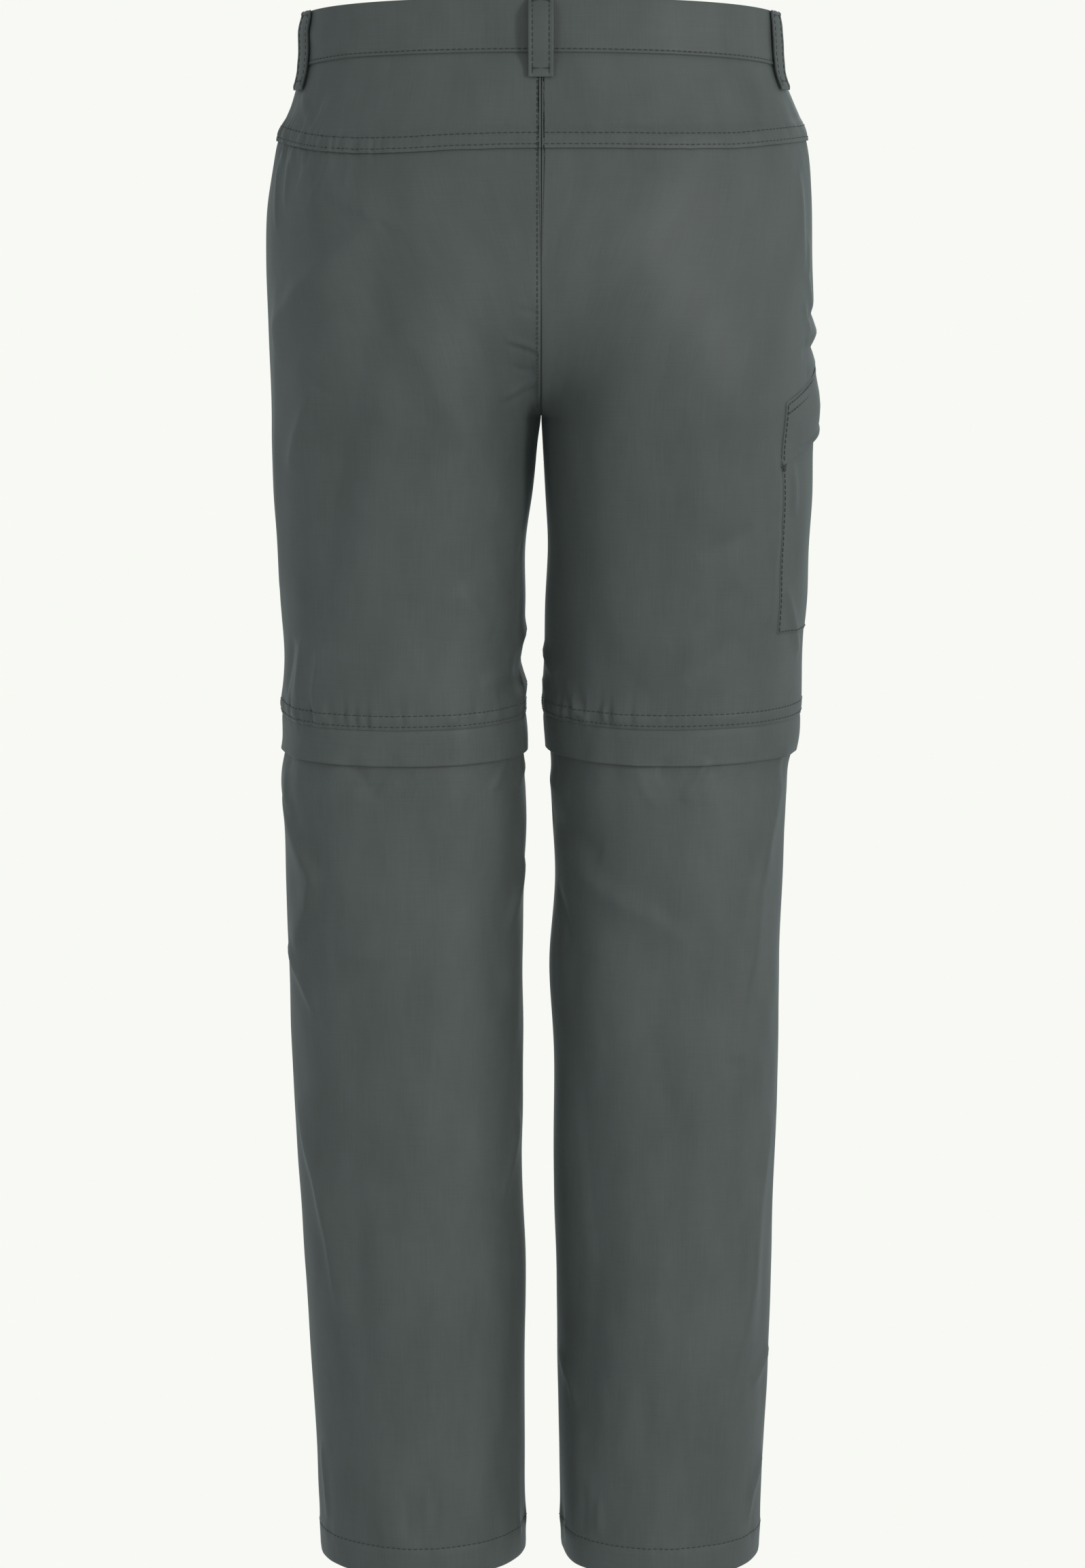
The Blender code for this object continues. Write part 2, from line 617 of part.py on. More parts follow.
def build_button(material):
    """Four-hole button on the overlapping end of the waistband."""
    mesh = bmesh.new()
    profile = ((0.80, 0), (1.0, 0.35), (1.0, 0.8), (0.9, 1.0), (0.72, 0.78))
    points = [(share * BUTTON_RADIUS, 0, height * BUTTON_HEIGHT) for share, height in profile]
    rings = [
        [mesh.verts.new((x * math.cos(turn), x * math.sin(turn), z)) for x, _, z in points]
        for turn in np.linspace(0, 2 * math.pi, BUTTON_SIDES, endpoint=False)
    ]
    for here, after in zip(rings, rings[1:] + rings[:1]):
        for low in range(len(points) - 1):
            mesh.faces.new((here[low], after[low], after[low + 1], here[low + 1]))
    mesh.faces.new([ring[0] for ring in reversed(rings)])
    mesh.faces.new([ring[-1] for ring in rings])
    data = bpy.data.meshes.new("button")
    mesh.to_mesh(data)
    mesh.free()
    button = add_object("button", data, material)
    cutter = bmesh.new()
    for x in (-0.5, 0.5):
        for y in (-0.5, 0.5):
            made = bmesh.ops.create_cone(
                cutter, cap_ends=True, segments=BUTTON_HOLE_SIDES, depth=4 * BUTTON_HEIGHT,
                radius1=BUTTON_HOLE_RADIUS, radius2=BUTTON_HOLE_RADIUS,
            )
            place = (x * BUTTON_HOLE_SPACING, y * BUTTON_HOLE_SPACING, 0)
            bmesh.ops.translate(cutter, vec=place, verts=made["verts"])
    data = bpy.data.meshes.new("button_holes")
    cutter.to_mesh(data)
    cutter.free()
    holes = bpy.data.objects.new("button_holes", data)
    bpy.context.scene.collection.objects.link(holes)
    holes.hide_render = True
    holes.display_type = "WIRE"
    place = waist_line("right", BUTTON_DEG, WAISTBAND_HEIGHT / 2)
    point, normal = lifted("right", np.array(BUTTON_DEG), place, BAND_PROUD + SEAM_GAP)
    for piece in (button, holes):
        piece.location = point
        piece.rotation_euler.x = math.atan2(-normal[1], normal[2])
    cut = button.modifiers.new("holes", "BOOLEAN")
    cut.operation = "DIFFERENCE"
    cut.object = holes


def build_trousers():
    cloth = cloth_material("cloth", (0.082, 0.095, 0.088), 0.62)
    tape = cloth_material("zip_tape", (0.03, 0.035, 0.033), 0.7)
    metal = cloth_material("slider_metal", (0.12, 0.125, 0.125), 0.4, 0.8)
    plastic = cloth_material("button_plastic", (0.05, 0.058, 0.055), 0.35)
    build_waistband(cloth)
    for leg in SIDE:
        build_yoke(leg, cloth)
        build_back(leg, cloth)
        build_front(leg, cloth)
        build_knee_flap(leg, cloth)
        build_knee_zip(leg, tape)
        build_slider(leg, metal)
        build_lower_leg(leg, 1, cloth)
        build_lower_leg(leg, -1, cloth)
        build_loop(f"loop_side_{leg}", loop_columns(leg, LOOP_SIDE_AT_DEG, LOOP_SIDE_DEG), cloth)
        build_loop(f"loop_front_{leg}", loop_columns(leg, LOOP_FRONT_AT_DEG, LOOP_FRONT_DEG), cloth)
    back = [("right", 180 - LOOP_BACK_DEG), ("left", 180), ("left", 180 - LOOP_BACK_DEG)]
    build_loop("loop_back", back, cloth)
    build_pocket(cloth)
    build_fly(cloth)
    build_button(plastic)


for leftover in list(bpy.data.objects):
    bpy.data.objects.remove(leftover)
build_trousers()
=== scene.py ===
"""The finish of the convertible zip-off trousers: thin cloth shells with their folds, seams and sewing,
the zips, materials, light and camera. Metres, +Z up, front towards -Y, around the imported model."""

import math
from typing import NamedTuple

import bpy
import numpy as np
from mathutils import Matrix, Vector


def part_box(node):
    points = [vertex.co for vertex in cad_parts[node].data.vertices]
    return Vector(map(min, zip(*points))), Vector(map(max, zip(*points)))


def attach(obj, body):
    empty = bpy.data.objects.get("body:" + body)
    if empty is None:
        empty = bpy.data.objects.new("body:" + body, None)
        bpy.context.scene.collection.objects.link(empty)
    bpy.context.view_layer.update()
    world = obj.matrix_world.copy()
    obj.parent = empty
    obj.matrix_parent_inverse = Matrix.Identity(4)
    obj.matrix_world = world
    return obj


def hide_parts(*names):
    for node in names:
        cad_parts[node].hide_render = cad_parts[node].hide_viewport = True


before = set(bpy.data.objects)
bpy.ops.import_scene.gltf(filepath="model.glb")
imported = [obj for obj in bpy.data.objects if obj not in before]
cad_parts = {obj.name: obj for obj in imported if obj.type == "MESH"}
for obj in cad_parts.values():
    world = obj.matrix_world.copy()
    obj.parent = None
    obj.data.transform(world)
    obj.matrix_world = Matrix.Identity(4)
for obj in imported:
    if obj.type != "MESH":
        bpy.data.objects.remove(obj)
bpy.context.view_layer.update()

# Driving sizes, as drops below the waistband's top edge at the side seam
WAISTBAND_HEIGHT = 0.036
WAIST_TOP_Z = WAISTBAND_HEIGHT / 2
WAIST_TILT = 0.09
YOKE_DROP = 0.081
YOKE_DIP = 0.006
YOKE_SAG = {"left": 0.006, "right": 0.0025}
YOKE_LAP = 0.008
CROTCH_DROP = 0.262
KNEE_DROP = 0.462
KNEE_DIP = 0.004
STORM_FLAP_HEIGHT = 0.024
HEM_DROP = 1.038
HEM_DIP = 0.003
HEM_DEPTH = 0.020
BAND_CLOTH = 0.0024
LOOP_CLOTH = 0.0018
SEAM_GAP = 0.0003
SEAM_DEG = 0.08
BAND_PROUD = 0.0006
SEAT_RISE = 0.130
FORK_RISE = 0.110
FORK_TURN_DEG = 115.0
BODY_SQUARENESS = 2.3
LEG_SQUARENESS = 2.15
LOOP_GAP = 0.0062
LOOP_SIDE_GAP = 0.0016
LOOP_HALF_WIDTH = 0.0082
LOOP_SIDE_AT_DEG = 29.0
LOOP_TWIST_DEG = 4.0
LOOP_FRONT_AT_DEG = -134.0
FLY_DROP = 0.160
FLY_SPAN_DEG = 30
FLY_CORNER = 0.030
FLY_CUT = (0.045, 0.135)
POCKET_FRONT_DEG = -36.0
POCKET_REAR_DEG = 39.0
POCKET_FLAP_TOP = 0.228
POCKET_FLAP_HEIGHT = 0.041
POCKET_SLANT = 0.023
POCKET_FOOT = 0.405
POCKET_MOUTH = 0.012
POCKET_SEWN = 0.0004
POCKET_SWELL = 0.0020
POCKET_EASE = 0.55
ZIP_WIDTH = 0.024
ZIP_RECESS = 0.0046
ZIP_GAP = 0.009
COIL_PITCH = 0.0022
COIL_REACH = 0.0018
COIL_LEAN_DEG = 0.5
COIL_LIFT = 0.0006
COIL_RADIUS = 0.0005
LEG_RECESS = 0.0022
LEG_RADIUS = 0.09
LEG_GIRTH = 2 * math.pi * LEG_RADIUS
SEAM_ALLOWANCE = 0.010
TUCK_LEAN = 0.25

# Sewing
STITCH_PITCH = 0.0038
STITCH_LENGTH = 0.0029
THREAD_RADIUS = 0.00028
STITCH_FROM_EDGE = 0.0023
SECOND_ROW = 0.0096
STITCH_LIFT = THREAD_RADIUS * 0.6
STITCH_SIDES = 6
# A stitch's rings: share of its length, size and rise in thread radii, dipping into the cloth at both ends
STITCH_RINGS = ((0.0, 0.55, -0.9), (0.14, 1.0, 0.25), (0.5, 1.05, 0.5), (0.86, 1.0, 0.25), (1.0, 0.55, -0.9))
BARTACK_STITCHES = 22
BARTACK_REACH = 0.0008
BARTACK_THREAD = 0.0002
STAR_REACH = 0.0032
STAR_THREAD = 0.0003

SIDE = {"left": 1.0, "right": -1.0}
FOLD_CREST = 1.6
NUDGE_DEG = 1.5
NUDGE = 0.002
LATTICE_ROWS = 96
MM = 0.001


class Section(NamedTuple):
    """Half widths and depths of the trousers at one drop, in millimetres. Front is towards -Y."""

    drop: float
    left_outer: float
    left_inner: float
    right_outer: float
    right_inner: float
    front: float
    back: float
    seam: float


SECTIONS = (
    Section(-12, 156.5, 0, 156.5, 0, -95, 100, 0),
    Section(0, 157.0, 0, 157.0, 0, -96, 102, 0),
    Section(20, 157.8, 0, 157.8, 0, -97, 105, 0),
    Section(37, 160.0, 0, 160.0, 0, -99, 109, 1),
    Section(52, 164.5, 0, 165.0, 0, -101, 113, 2),
    Section(79, 173.7, 0, 173.7, 0, -104, 121, 4),
    Section(115, 179.3, 0, 178.5, 0, -107, 132, 6),
    Section(160, 181.0, 0, 179.7, 0, -108, 140, 8),
    Section(205, 181.3, 0, 180.5, 0, -106, 140, 9),
    Section(240, 180.6, 0, 180.0, 0, -102, 132, 9),
    Section(262, 180.4, 0, 179.8, 0, -99, 125, 9),
    Section(280, 180.6, 2.3, 178.3, 0.9, -98, 119, 8),
    Section(314, 179.9, 5.3, 177.3, 2.7, -96, 110, 6),
    Section(350, 177.6, 9.4, 175.3, 4.5, -94, 102, 4),
    Section(387, 176.7, 9.8, 175.8, 3.8, -92, 96, 2),
    Section(424, 175.0, 12.2, 174.8, 4.0, -90, 91, 0),
    Section(461, 176.3, 9.3, 173.5, 3.0, -88, 87, -1),
    Section(480, 175.0, 8.4, 171.8, 4.6, -87, 85, -1),
    Section(500, 176.8, 9.8, 166.0, 6.4, -85.5, 84, -1),
    Section(535, 173.6, 10.3, 163.6, 7.8, -83, 83, -0.5),
    Section(572, 172.0, 12.6, 163.0, 9.0, -80, 82.5, 0),
    Section(628, 169.8, 12.9, 161.7, 5.8, -76, 82, 2),
    Section(703, 168.6, 13.5, 161.3, 8.8, -72.5, 82, 4),
    Section(778, 164.6, 13.0, 158.0, 9.3, -70, 81, 5),
    Section(854, 160.5, 12.2, 156.7, 12.0, -68.5, 80, 5.5),
    Section(930, 155.8, 12.5, 154.3, 12.3, -67.5, 79, 6),
    Section(988, 153.7, 12.5, 152.2, 12.3, -67, 79, 6),
    Section(1050, 151.4, 12.0, 148.5, 13.5, -66.5, 79, 6),
)


class Fold(NamedTuple):
    """One soft fold. Its path is points in degrees round the leg from the side seam, positive over the
    back, and millimetres of drop. Width is half the fold's width in millimetres, height is in
    millimetres, negative for a trough, and lean above 0 makes the side to the path's left steeper."""

    leg: str
    path: tuple
    width: float
    height: float
    lean: float = 0.0


FOLDS = (
    Fold("left", ((100, 132), (74, 156), (48, 178), (20, 208)), 11, 3.2, 0.3),
    Fold("left", ((97, 130), (84, 188), (68, 254), (54, 344), (45, 412)), 28, -8.5),
    Fold("left", ((126, 140), (120, 200), (108, 280), (94, 380)), 26, 3.2),
    Fold("left", ((30, 170), (21, 256), (13, 380)), 11, 2.0),
    Fold("left", ((50, 240), (39, 272), (33, 296)), 8, 2.2, 0.3),
    Fold("left", ((96, 196), (107, 248), (124, 290), (158, 350)), 16, 2.4, 0.3),
    Fold("left", ((14, 515), (31, 546), (43, 568), (38, 590), (24, 618)), 10, 4.2, -0.4),
    Fold("left", ((12, 618), (29, 638), (41, 660)), 8, 3.0, 0.4),
    Fold("left", ((14, 724), (33, 772), (42, 814), (48, 870)), 10, 3.2, 0.4),
    Fold("left", ((70, 620), (62, 760), (60, 900)), 24, -3.0),
    Fold("left", ((176, 562), (160, 584), (149, 606)), 9, 2.8, 0.3),
    Fold("right", ((38, 100), (34, 140), (28, 172)), 9, 2.5),
    Fold("right", ((41, 290), (42, 340), (45, 400)), 9, 3.2, -0.3),
    Fold("right", ((40, 334), (71, 388), (104, 440)), 16, 2.2, 0.2),
    Fold("right", ((180, 534), (145, 540), (128, 552)), 10, -2.8),
    Fold("right", ((150, 562), (120, 578), (101, 590), (82, 608)), 11, 3.0, 0.4),
    Fold("right", (
        (28, 478), (24, 510), (33, 538), (42, 575), (44, 618), (51, 654), (56, 690)), 10, 4.0, -0.3),
    Fold("right", ((20, 732), (33, 788), (39, 842), (55, 916), (68, 952)), 11, 3.5, -0.3),
    Fold("right", ((142, 690), (129, 824), (144, 950)), 22, -2.8),
    Fold("left", ((-60, 150), (-95, 210), (-130, 240)), 14, 2.5),
    Fold("left", ((-40, 360), (-85, 410), (-135, 430)), 16, 2.8),
    Fold("left", ((-30, 510), (-80, 548), (-130, 560)), 15, 3.2, 0.3),
    Fold("left", ((-150, 590), (-100, 625), (-60, 640)), 15, 2.5, -0.2),
    Fold("left", ((-50, 720), (-70, 850), (-64, 960)), 18, 2.5),
    Fold("right", ((-64, 150), (-100, 214), (-135, 242)), 14, 2.4),
    Fold("right", ((-60, 380), (-100, 420), (-145, 438)), 15, 2.5),
    Fold("right", ((-36, 515), (-84, 545), (-136, 552)), 15, 3.1, 0.3),
    Fold("right", ((-152, 600), (-110, 622), (-70, 650)), 14, 2.6, -0.2),
    Fold("right", ((-76, 700), (-62, 830), (-80, 970)), 18, 2.6),
)

# Smaller creases, which only these shells show
CREASES = (
    Fold("left", ((22, 8), (50, 16), (84, 28), (104, 34)), 7, 1.8),
    Fold("left", ((36, 50), (50, 64), (61, 76)), 4, 1.4),
    Fold("left", ((66, 50), (63, 64), (61, 74)), 3, 1.0),
    Fold("left", ((79, 94), (71, 112), (58, 130)), 5, 1.4),
    Fold("left", ((92, 92), (90, 100), (87, 112)), 3, 0.8),
    Fold("left", ((66, 88), (60, 100), (52, 116)), 4, 1.1),
    Fold("left", ((46, 86), (42, 100), (40, 124)), 4, 1.3),
    Fold("left", ((30, 84), (28, 104), (30, 140)), 5, 1.3),
    Fold("left", ((153, 189), (164, 191), (174, 192)), 1.6, -0.7),
    Fold("left", ((143, 208), (156, 212), (172, 216)), 2.2, 0.9),
    Fold("left", ((143, 212), (156, 216), (172, 220)), 1.8, -1.0),
    Fold("left", ((144, 226), (152, 229), (164, 229)), 1.8, -0.9),
    Fold("left", ((136, 246), (150, 240), (168, 234)), 2.4, 0.9),
    Fold("left", ((134, 251), (150, 245), (168, 239)), 2.0, -1.0),
    Fold("left", ((31, 408), (25, 426), (19, 444)), 5, -2.1),
    Fold("left", ((40, 404), (36, 424), (33, 448)), 5, 1.9),
    Fold("left", ((51, 410), (48, 434), (45, 456)), 5, 1.8, 0.3),
    Fold("left", ((117, 372), (127, 390), (137, 404)), 7, 1.6),
    Fold("left", ((130, 437), (144, 432), (160, 428)), 4, 1.6),
    Fold("left", ((140, 445), (154, 440), (170, 440)), 4, -1.3),
    Fold("left", ((214, 404), (180, 407), (148, 422)), 6, 2.4),
    Fold("left", ((-146, 412), (-180, 407), (-214, 404)), 6, 2.4),
    Fold("left", ((206, 426), (180, 427), (154, 432)), 5, -1.4),
    Fold("left", ((-154, 432), (-180, 427), (-206, 426)), 5, -1.4),
    Fold("left", ((214, 440), (180, 443), (150, 456)), 6, 2.2),
    Fold("left", ((-150, 448), (-180, 443), (-214, 440)), 6, 2.2),
    Fold("left", ((179, 496), (166, 500), (156, 510)), 6, 1.8),
    Fold("right", ((179, 440), (165, 446)), 4, 1.4),
    Fold("right", ((179, 506), (164, 512), (150, 514)), 6, 1.4),
    Fold("left", ((64, 486), (77, 507), (88, 484)), 5, -1.9),
    Fold("left", ((18, 500), (22, 516), (30, 530)), 5, 2.2),
    Fold("left", ((149, 489), (142, 500), (135, 510)), 3, 1.1),
    Fold("left", ((21, 960), (25, 986), (27, 1012)), 5, 1.8),
    Fold("left", ((170, 736), (157, 760), (144, 790)), 8, 1.9),
    Fold("left", ((84, 980), (84, 1014)), 4, -1.3),
    Fold("left", ((94, 976), (95, 1014)), 4, 1.3),
    Fold("left", ((104, 984), (103, 1012)), 3, 0.8),
    Fold("right", ((28, 188), (24, 196), (18, 206)), 4, 1.6),
    Fold("right", ((-16, 186), (2, 194), (26, 196)), 4, -2.0),
    Fold("right", ((-18, 200), (0, 205), (24, 212)), 4.5, 2.0),
    Fold("right", ((-16, 212), (2, 216), (28, 220)), 3.5, -2.0),
    Fold("right", ((-14, 222), (0, 226), (20, 232)), 4, 1.6),
    Fold("right", ((20, 146), (24, 170), (14, 192)), 5, 1.5),
    Fold("right", ((34, 374), (27, 396), (16, 420)), 5, 2.1),
    Fold("right", ((31, 290), (30, 304), (30, 326)), 4, 1.6),
    Fold("right", ((56, 334), (70, 342), (82, 350)), 8, -1.4),
    Fold("right", ((62, 370), (77, 390), (94, 408)), 8, -1.6),
    Fold("right", ((62, 402), (74, 418), (86, 434)), 7, -1.4),
    Fold("right", ((180, 418), (166, 428), (156, 436)), 5, 2.6),
    Fold("right", ((150, 438), (143, 450), (139, 460)), 3, 1.6),
    Fold("right", ((142, 440), (137, 450), (134, 460)), 3, -1.3),
    Fold("right", ((126, 452), (122, 462)), 3, 1.0),
    Fold("right", ((95, 485), (96, 500)), 4, -1.3),
    Fold("right", ((73, 487), (78, 500), (84, 514)), 5, 1.9),
    Fold("right", ((108, 488), (104, 504), (98, 518)), 5, 1.4),
    Fold("right", ((168, 578), (156, 596), (147, 614)), 6, -1.9),
    Fold("right", ((10, 896), (24, 904), (36, 914)), 5, 2.1),
    Fold("right", ((12, 968), (30, 990), (35, 1010)), 5, 1.9),
    Fold("right", ((175, 898), (157, 914), (148, 934)), 6, 1.8),
    Fold("right", ((139, 982), (139, 1016)), 4, -1.4),
    Fold("right", ((128, 990), (128, 1016)), 4, 1.3),
    Fold("right", ((94, 800), (95, 900), (93, 1010)), 10, 1.3),
    Fold("left", ((-70, 486), (-78, 505), (-90, 512)), 5, -1.9),
    Fold("left", ((-110, 488), (-104, 503), (-96, 516)), 5, 1.6),
    Fold("left", ((-150, 440), (-140, 450), (-134, 458)), 4, 1.4),
    Fold("left", ((-176, 190), (-150, 214), (-128, 226)), 6, 1.9),
    Fold("left", ((-176, 220), (-152, 236), (-130, 256)), 6, 1.6),
    Fold("left", ((-86, 976), (-88, 1014)), 5, -1.4),
    Fold("right", ((-84, 486), (-90, 504), (-100, 512)), 5, -1.8),
    Fold("right", ((-60, 488), (-66, 503), (-74, 516)), 5, 1.6),
    Fold("right", ((-176, 200), (-150, 218), (-126, 232)), 6, 1.9),
    Fold("right", ((-176, 226), (-154, 240), (-134, 252)), 5, 1.6),
    Fold("right", ((-98, 980), (-96, 1014)), 5, -1.4),
)


class Wave(NamedTuple):
    """Soft drape of one scale: how many cells go round the leg, a cell's height and the wave's height."""

    seed: int
    cells: int
    cell_drop: float
    height: float


DRAPE = (
    Wave(11, 8, 0.150, 0.0018),
    Wave(12, 18, 0.070, 0.0009),
    Wave(13, 40, 0.032, 0.00030),
)


class Pucker(NamedTuple):
    """Short gathers along a seam: how far they reach above and below it, their spacing and height, and
    the stretch round the leg, in degrees, where they are strongest."""

    line: str
    leg: str
    offset: float
    above: float
    below: float
    spacing: float
    height: float
    centre_deg: float
    reach_deg: float


PUCKERS = (
    Pucker("yoke", "left", -0.005, 0.008, 0.006, 0.0034, 0.0036, 55, 45),
    Pucker("yoke", "left", 0.003, 0.004, 0.010, 0.0056, 0.0030, 45, 45),
    Pucker("yoke", "right", -0.006, 0.006, 0.008, 0.0080, 0.0010, 110, 80),
    Pucker("yoke", "left", -0.006, 0.006, 0.006, 0.0080, 0.0008, 130, 60),
    Pucker("knee", "left", -0.006, 0.009, 0.006, 0.0042, 0.0028, 62, 60),
    Pucker("knee", "left", -0.006, 0.006, 0.005, 0.0080, 0.0013, 140, 50),
    Pucker("knee", "right", -0.006, 0.009, 0.006, 0.0042, 0.0028, 132, 48),
    Pucker("knee", "right", -0.006, 0.006, 0.005, 0.0080, 0.0013, 60, 60),
    *(Pucker("knee", leg, -0.006, 0.008, 0.005, 0.0070, 0.0020, -90, 100) for leg in SIDE),
    *(
        Pucker("flap", leg, 0.004, 0.004, 0.014, 0.0110, 0.0020, centre, 120)
        for centre in (90, -90) for leg in SIDE
    ),
    *(
        Pucker("hem", leg, -0.020, 0.010, 0.006, 0.0090, 0.0015, centre, 200)
        for centre in (90, -90) for leg in SIDE
    ),
)


def smooth(share):
    """0 to 1 along an S curve, held flat outside that range."""
    share = np.clip(share, 0.0, 1.0)
    return share * share * (3 - 2 * share)


def curve_through(stations, values):
    """A smooth curve through the values at the stations."""
    stations, values = np.array(stations, float), np.array(values, float)
    slopes = np.gradient(values, stations)

    def at(where):
        where = np.clip(where, stations[0], stations[-1])
        low = np.clip(np.searchsorted(stations, where, side="right") - 1, 0, len(stations) - 2)
        step = stations[low + 1] - stations[low]
        t = (where - stations[low]) / step
        ease_in, ease_out = t * (1 - t) ** 2 * step, t * t * (t - 1) * step
        blend = t * t * (3 - 2 * t)
        ends = values[low] * (1 - blend) + values[low + 1] * blend
        return ends + slopes[low] * ease_in + slopes[low + 1] * ease_out

    return at


def column(field):
    """One column of the section table as a curve over the drop, in metres."""
    drops = [row.drop * MM for row in SECTIONS]
    return curve_through(drops, [getattr(row, field) * MM for row in SECTIONS])


OUTER = {leg: column(f"{leg}_outer") for leg in SIDE}
INNER = {leg: column(f"{leg}_inner") for leg in SIDE}
FRONT, BACK, SEAM = column("front"), column("back"), column("seam")


def bulge(share, squareness):
    """Depth of a rounded section at a share of its half width, from 1 in the middle to 0 at the edge."""
    return np.maximum(1 - np.abs(share) ** squareness, 0) ** (1 / squareness)


def leg_share(angle, drop):
    """How far the cloth has left the body's section for the leg's: the seat and fork curves."""
    rise = np.where(angle >= 0, SEAT_RISE, FORK_RISE)
    near_fork = np.clip((drop - CROTCH_DROP) / rise + 1, 0, 1)
    sharpness = smooth((np.abs(angle) - FORK_TURN_DEG) / (180 - FORK_TURN_DEG))
    return 1 - (1 - near_fork ** (2 + sharpness)) ** (2 - 1.5 * sharpness)


def cloth_point(leg, angle, drop):
    """Points of the smooth cloth. The angle goes round the leg in degrees from the side seam at 0, over
    the back (positive) or the front (negative), to the inseam or the centre seam at 180."""
    angle, drop = np.broadcast_arrays(np.asarray(angle, float), np.asarray(drop, float))
    outer = OUTER[leg](drop)
    inner = np.maximum(INNER[leg](drop), SEAM_GAP / 2)
    seam = SEAM(drop)
    depth = np.where(angle >= 0, BACK(drop), FRONT(drop)) - seam
    spread = 1 + smooth((drop - YOKE_DROP) / (CROTCH_DROP - YOKE_DROP))
    across = np.maximum(np.cos(np.radians(np.abs(angle)) / 2), 0) ** spread
    x = inner + (outer - inner) * across
    body = bulge(x / outer, BODY_SQUARENESS)
    limb = bulge(2 * across - 1, LEG_SQUARENESS)
    share = leg_share(angle, drop)
    y = seam + depth * ((1 - share) * body + share * limb)
    return np.stack((SIDE[leg] * x, y, WAIST_TOP_Z - drop), axis=-1)


def cloth_normal(leg, angle, drop):
    """Outward directions of the smooth cloth."""
    before, after = np.maximum(angle - NUDGE_DEG, -180), np.minimum(angle + NUDGE_DEG, 180)
    along = cloth_point(leg, after, drop) - cloth_point(leg, before, drop)
    down = cloth_point(leg, angle, drop + NUDGE) - cloth_point(leg, angle, drop - NUDGE)
    normal = np.cross(down, along) * SIDE[leg]
    return normal / np.linalg.norm(normal, axis=-1, keepdims=True)


def waist_line(leg, angle, height):
    """Drop of a line that follows the tilted waist, a height below its top edge."""
    return height - WAIST_TILT * cloth_point(leg, angle, height)[..., 1]


def yoke_line(leg, angle):
    """Drop of the yoke's lower edge, which sags between the side seam and the centre back."""
    turn = np.radians(angle)
    return YOKE_DROP + YOKE_DIP * np.sin(turn / 2) ** 2 + YOKE_SAG[leg] * np.sin(turn) ** 2


def knee_line(angle):
    return KNEE_DROP + KNEE_DIP * np.sin(np.radians(angle))


def hem_line(angle):
    return HEM_DROP + HEM_DIP * np.sin(np.radians(angle))


SEAM_LINES = {
    "yoke": yoke_line,
    "knee": lambda leg, angle: knee_line(angle),
    "flap": lambda leg, angle: knee_line(angle) + STORM_FLAP_HEIGHT,
    "hem": lambda leg, angle: hem_line(angle),
}


def fold_height(folds, leg, angle, drop):
    """Height of the folds over the smooth cloth."""
    total = np.zeros(angle.shape)
    scale = np.array((math.radians(1) * LEG_RADIUS, MM))
    where = np.stack((angle * scale[0], drop), axis=-1)
    for fold in folds:
        if fold.leg != leg:
            continue
        path = np.array(fold.path, float) * scale
        runs = np.diff(path, axis=0)
        lengths = np.linalg.norm(runs, axis=1)
        travelled = np.concatenate(((0,), np.cumsum(lengths)))
        best = np.full(angle.shape, np.inf)
        along = np.zeros(angle.shape)
        turned = np.zeros(angle.shape)
        for start, run, length, before in zip(path, runs, lengths, travelled):
            offset = where - start
            share = np.clip(offset @ run / length**2, 0, 1)
            aside = offset - share[..., None] * run
            distance = np.linalg.norm(aside, axis=-1)
            nearer = distance < best
            best = np.where(nearer, distance, best)
            along = np.where(nearer, (before + share * length) / travelled[-1], along)
            turned = np.where(nearer, np.sign(run[0] * aside[..., 1] - run[1] * aside[..., 0]), turned)
        fade = np.sqrt(np.maximum(4 * along * (1 - along), 0))
        width = fold.width * MM * (1 - fold.lean * turned)
        total += fold.height * MM * fade * np.exp(-((best / width) ** FOLD_CREST))
    return total


def noise(seed, around, down, cells, cell_drop):
    """Smooth random waves from -1 to 1, which close round the leg."""
    lattice = np.random.default_rng(seed).uniform(-1, 1, (cells, LATTICE_ROWS))
    u = (around % 1) * cells
    v = down / cell_drop + 4
    i, j = np.floor(u).astype(int), np.floor(v).astype(int)
    fu, fv = smooth(u - i), smooth(v - j)
    i, j = i % cells, j % LATTICE_ROWS
    after, below = (i + 1) % cells, (j + 1) % LATTICE_ROWS
    top = lattice[i, j] * (1 - fu) + lattice[after, j] * fu
    low = lattice[i, below] * (1 - fu) + lattice[after, below] * fu
    return top * (1 - fv) + low * fv


def drape_height(leg, angle, drop):
    """Slack of the hanging cloth, stilled at the waist and between the legs."""
    around = angle / 360 + (0.37 if leg == "right" else 0)
    total = np.zeros(angle.shape)
    for wave in DRAPE:
        total += wave.height * noise(wave.seed, around, drop, wave.cells, wave.cell_drop)
    near_waist = smooth((drop - WAISTBAND_HEIGHT) / 0.03)
    near_fork = smooth((180 - np.abs(angle)) / 22)
    fork_zone = 1 - smooth((drop - CROTCH_DROP - 0.03) / 0.06)
    return total * near_waist * (1 - fork_zone * (1 - near_fork))


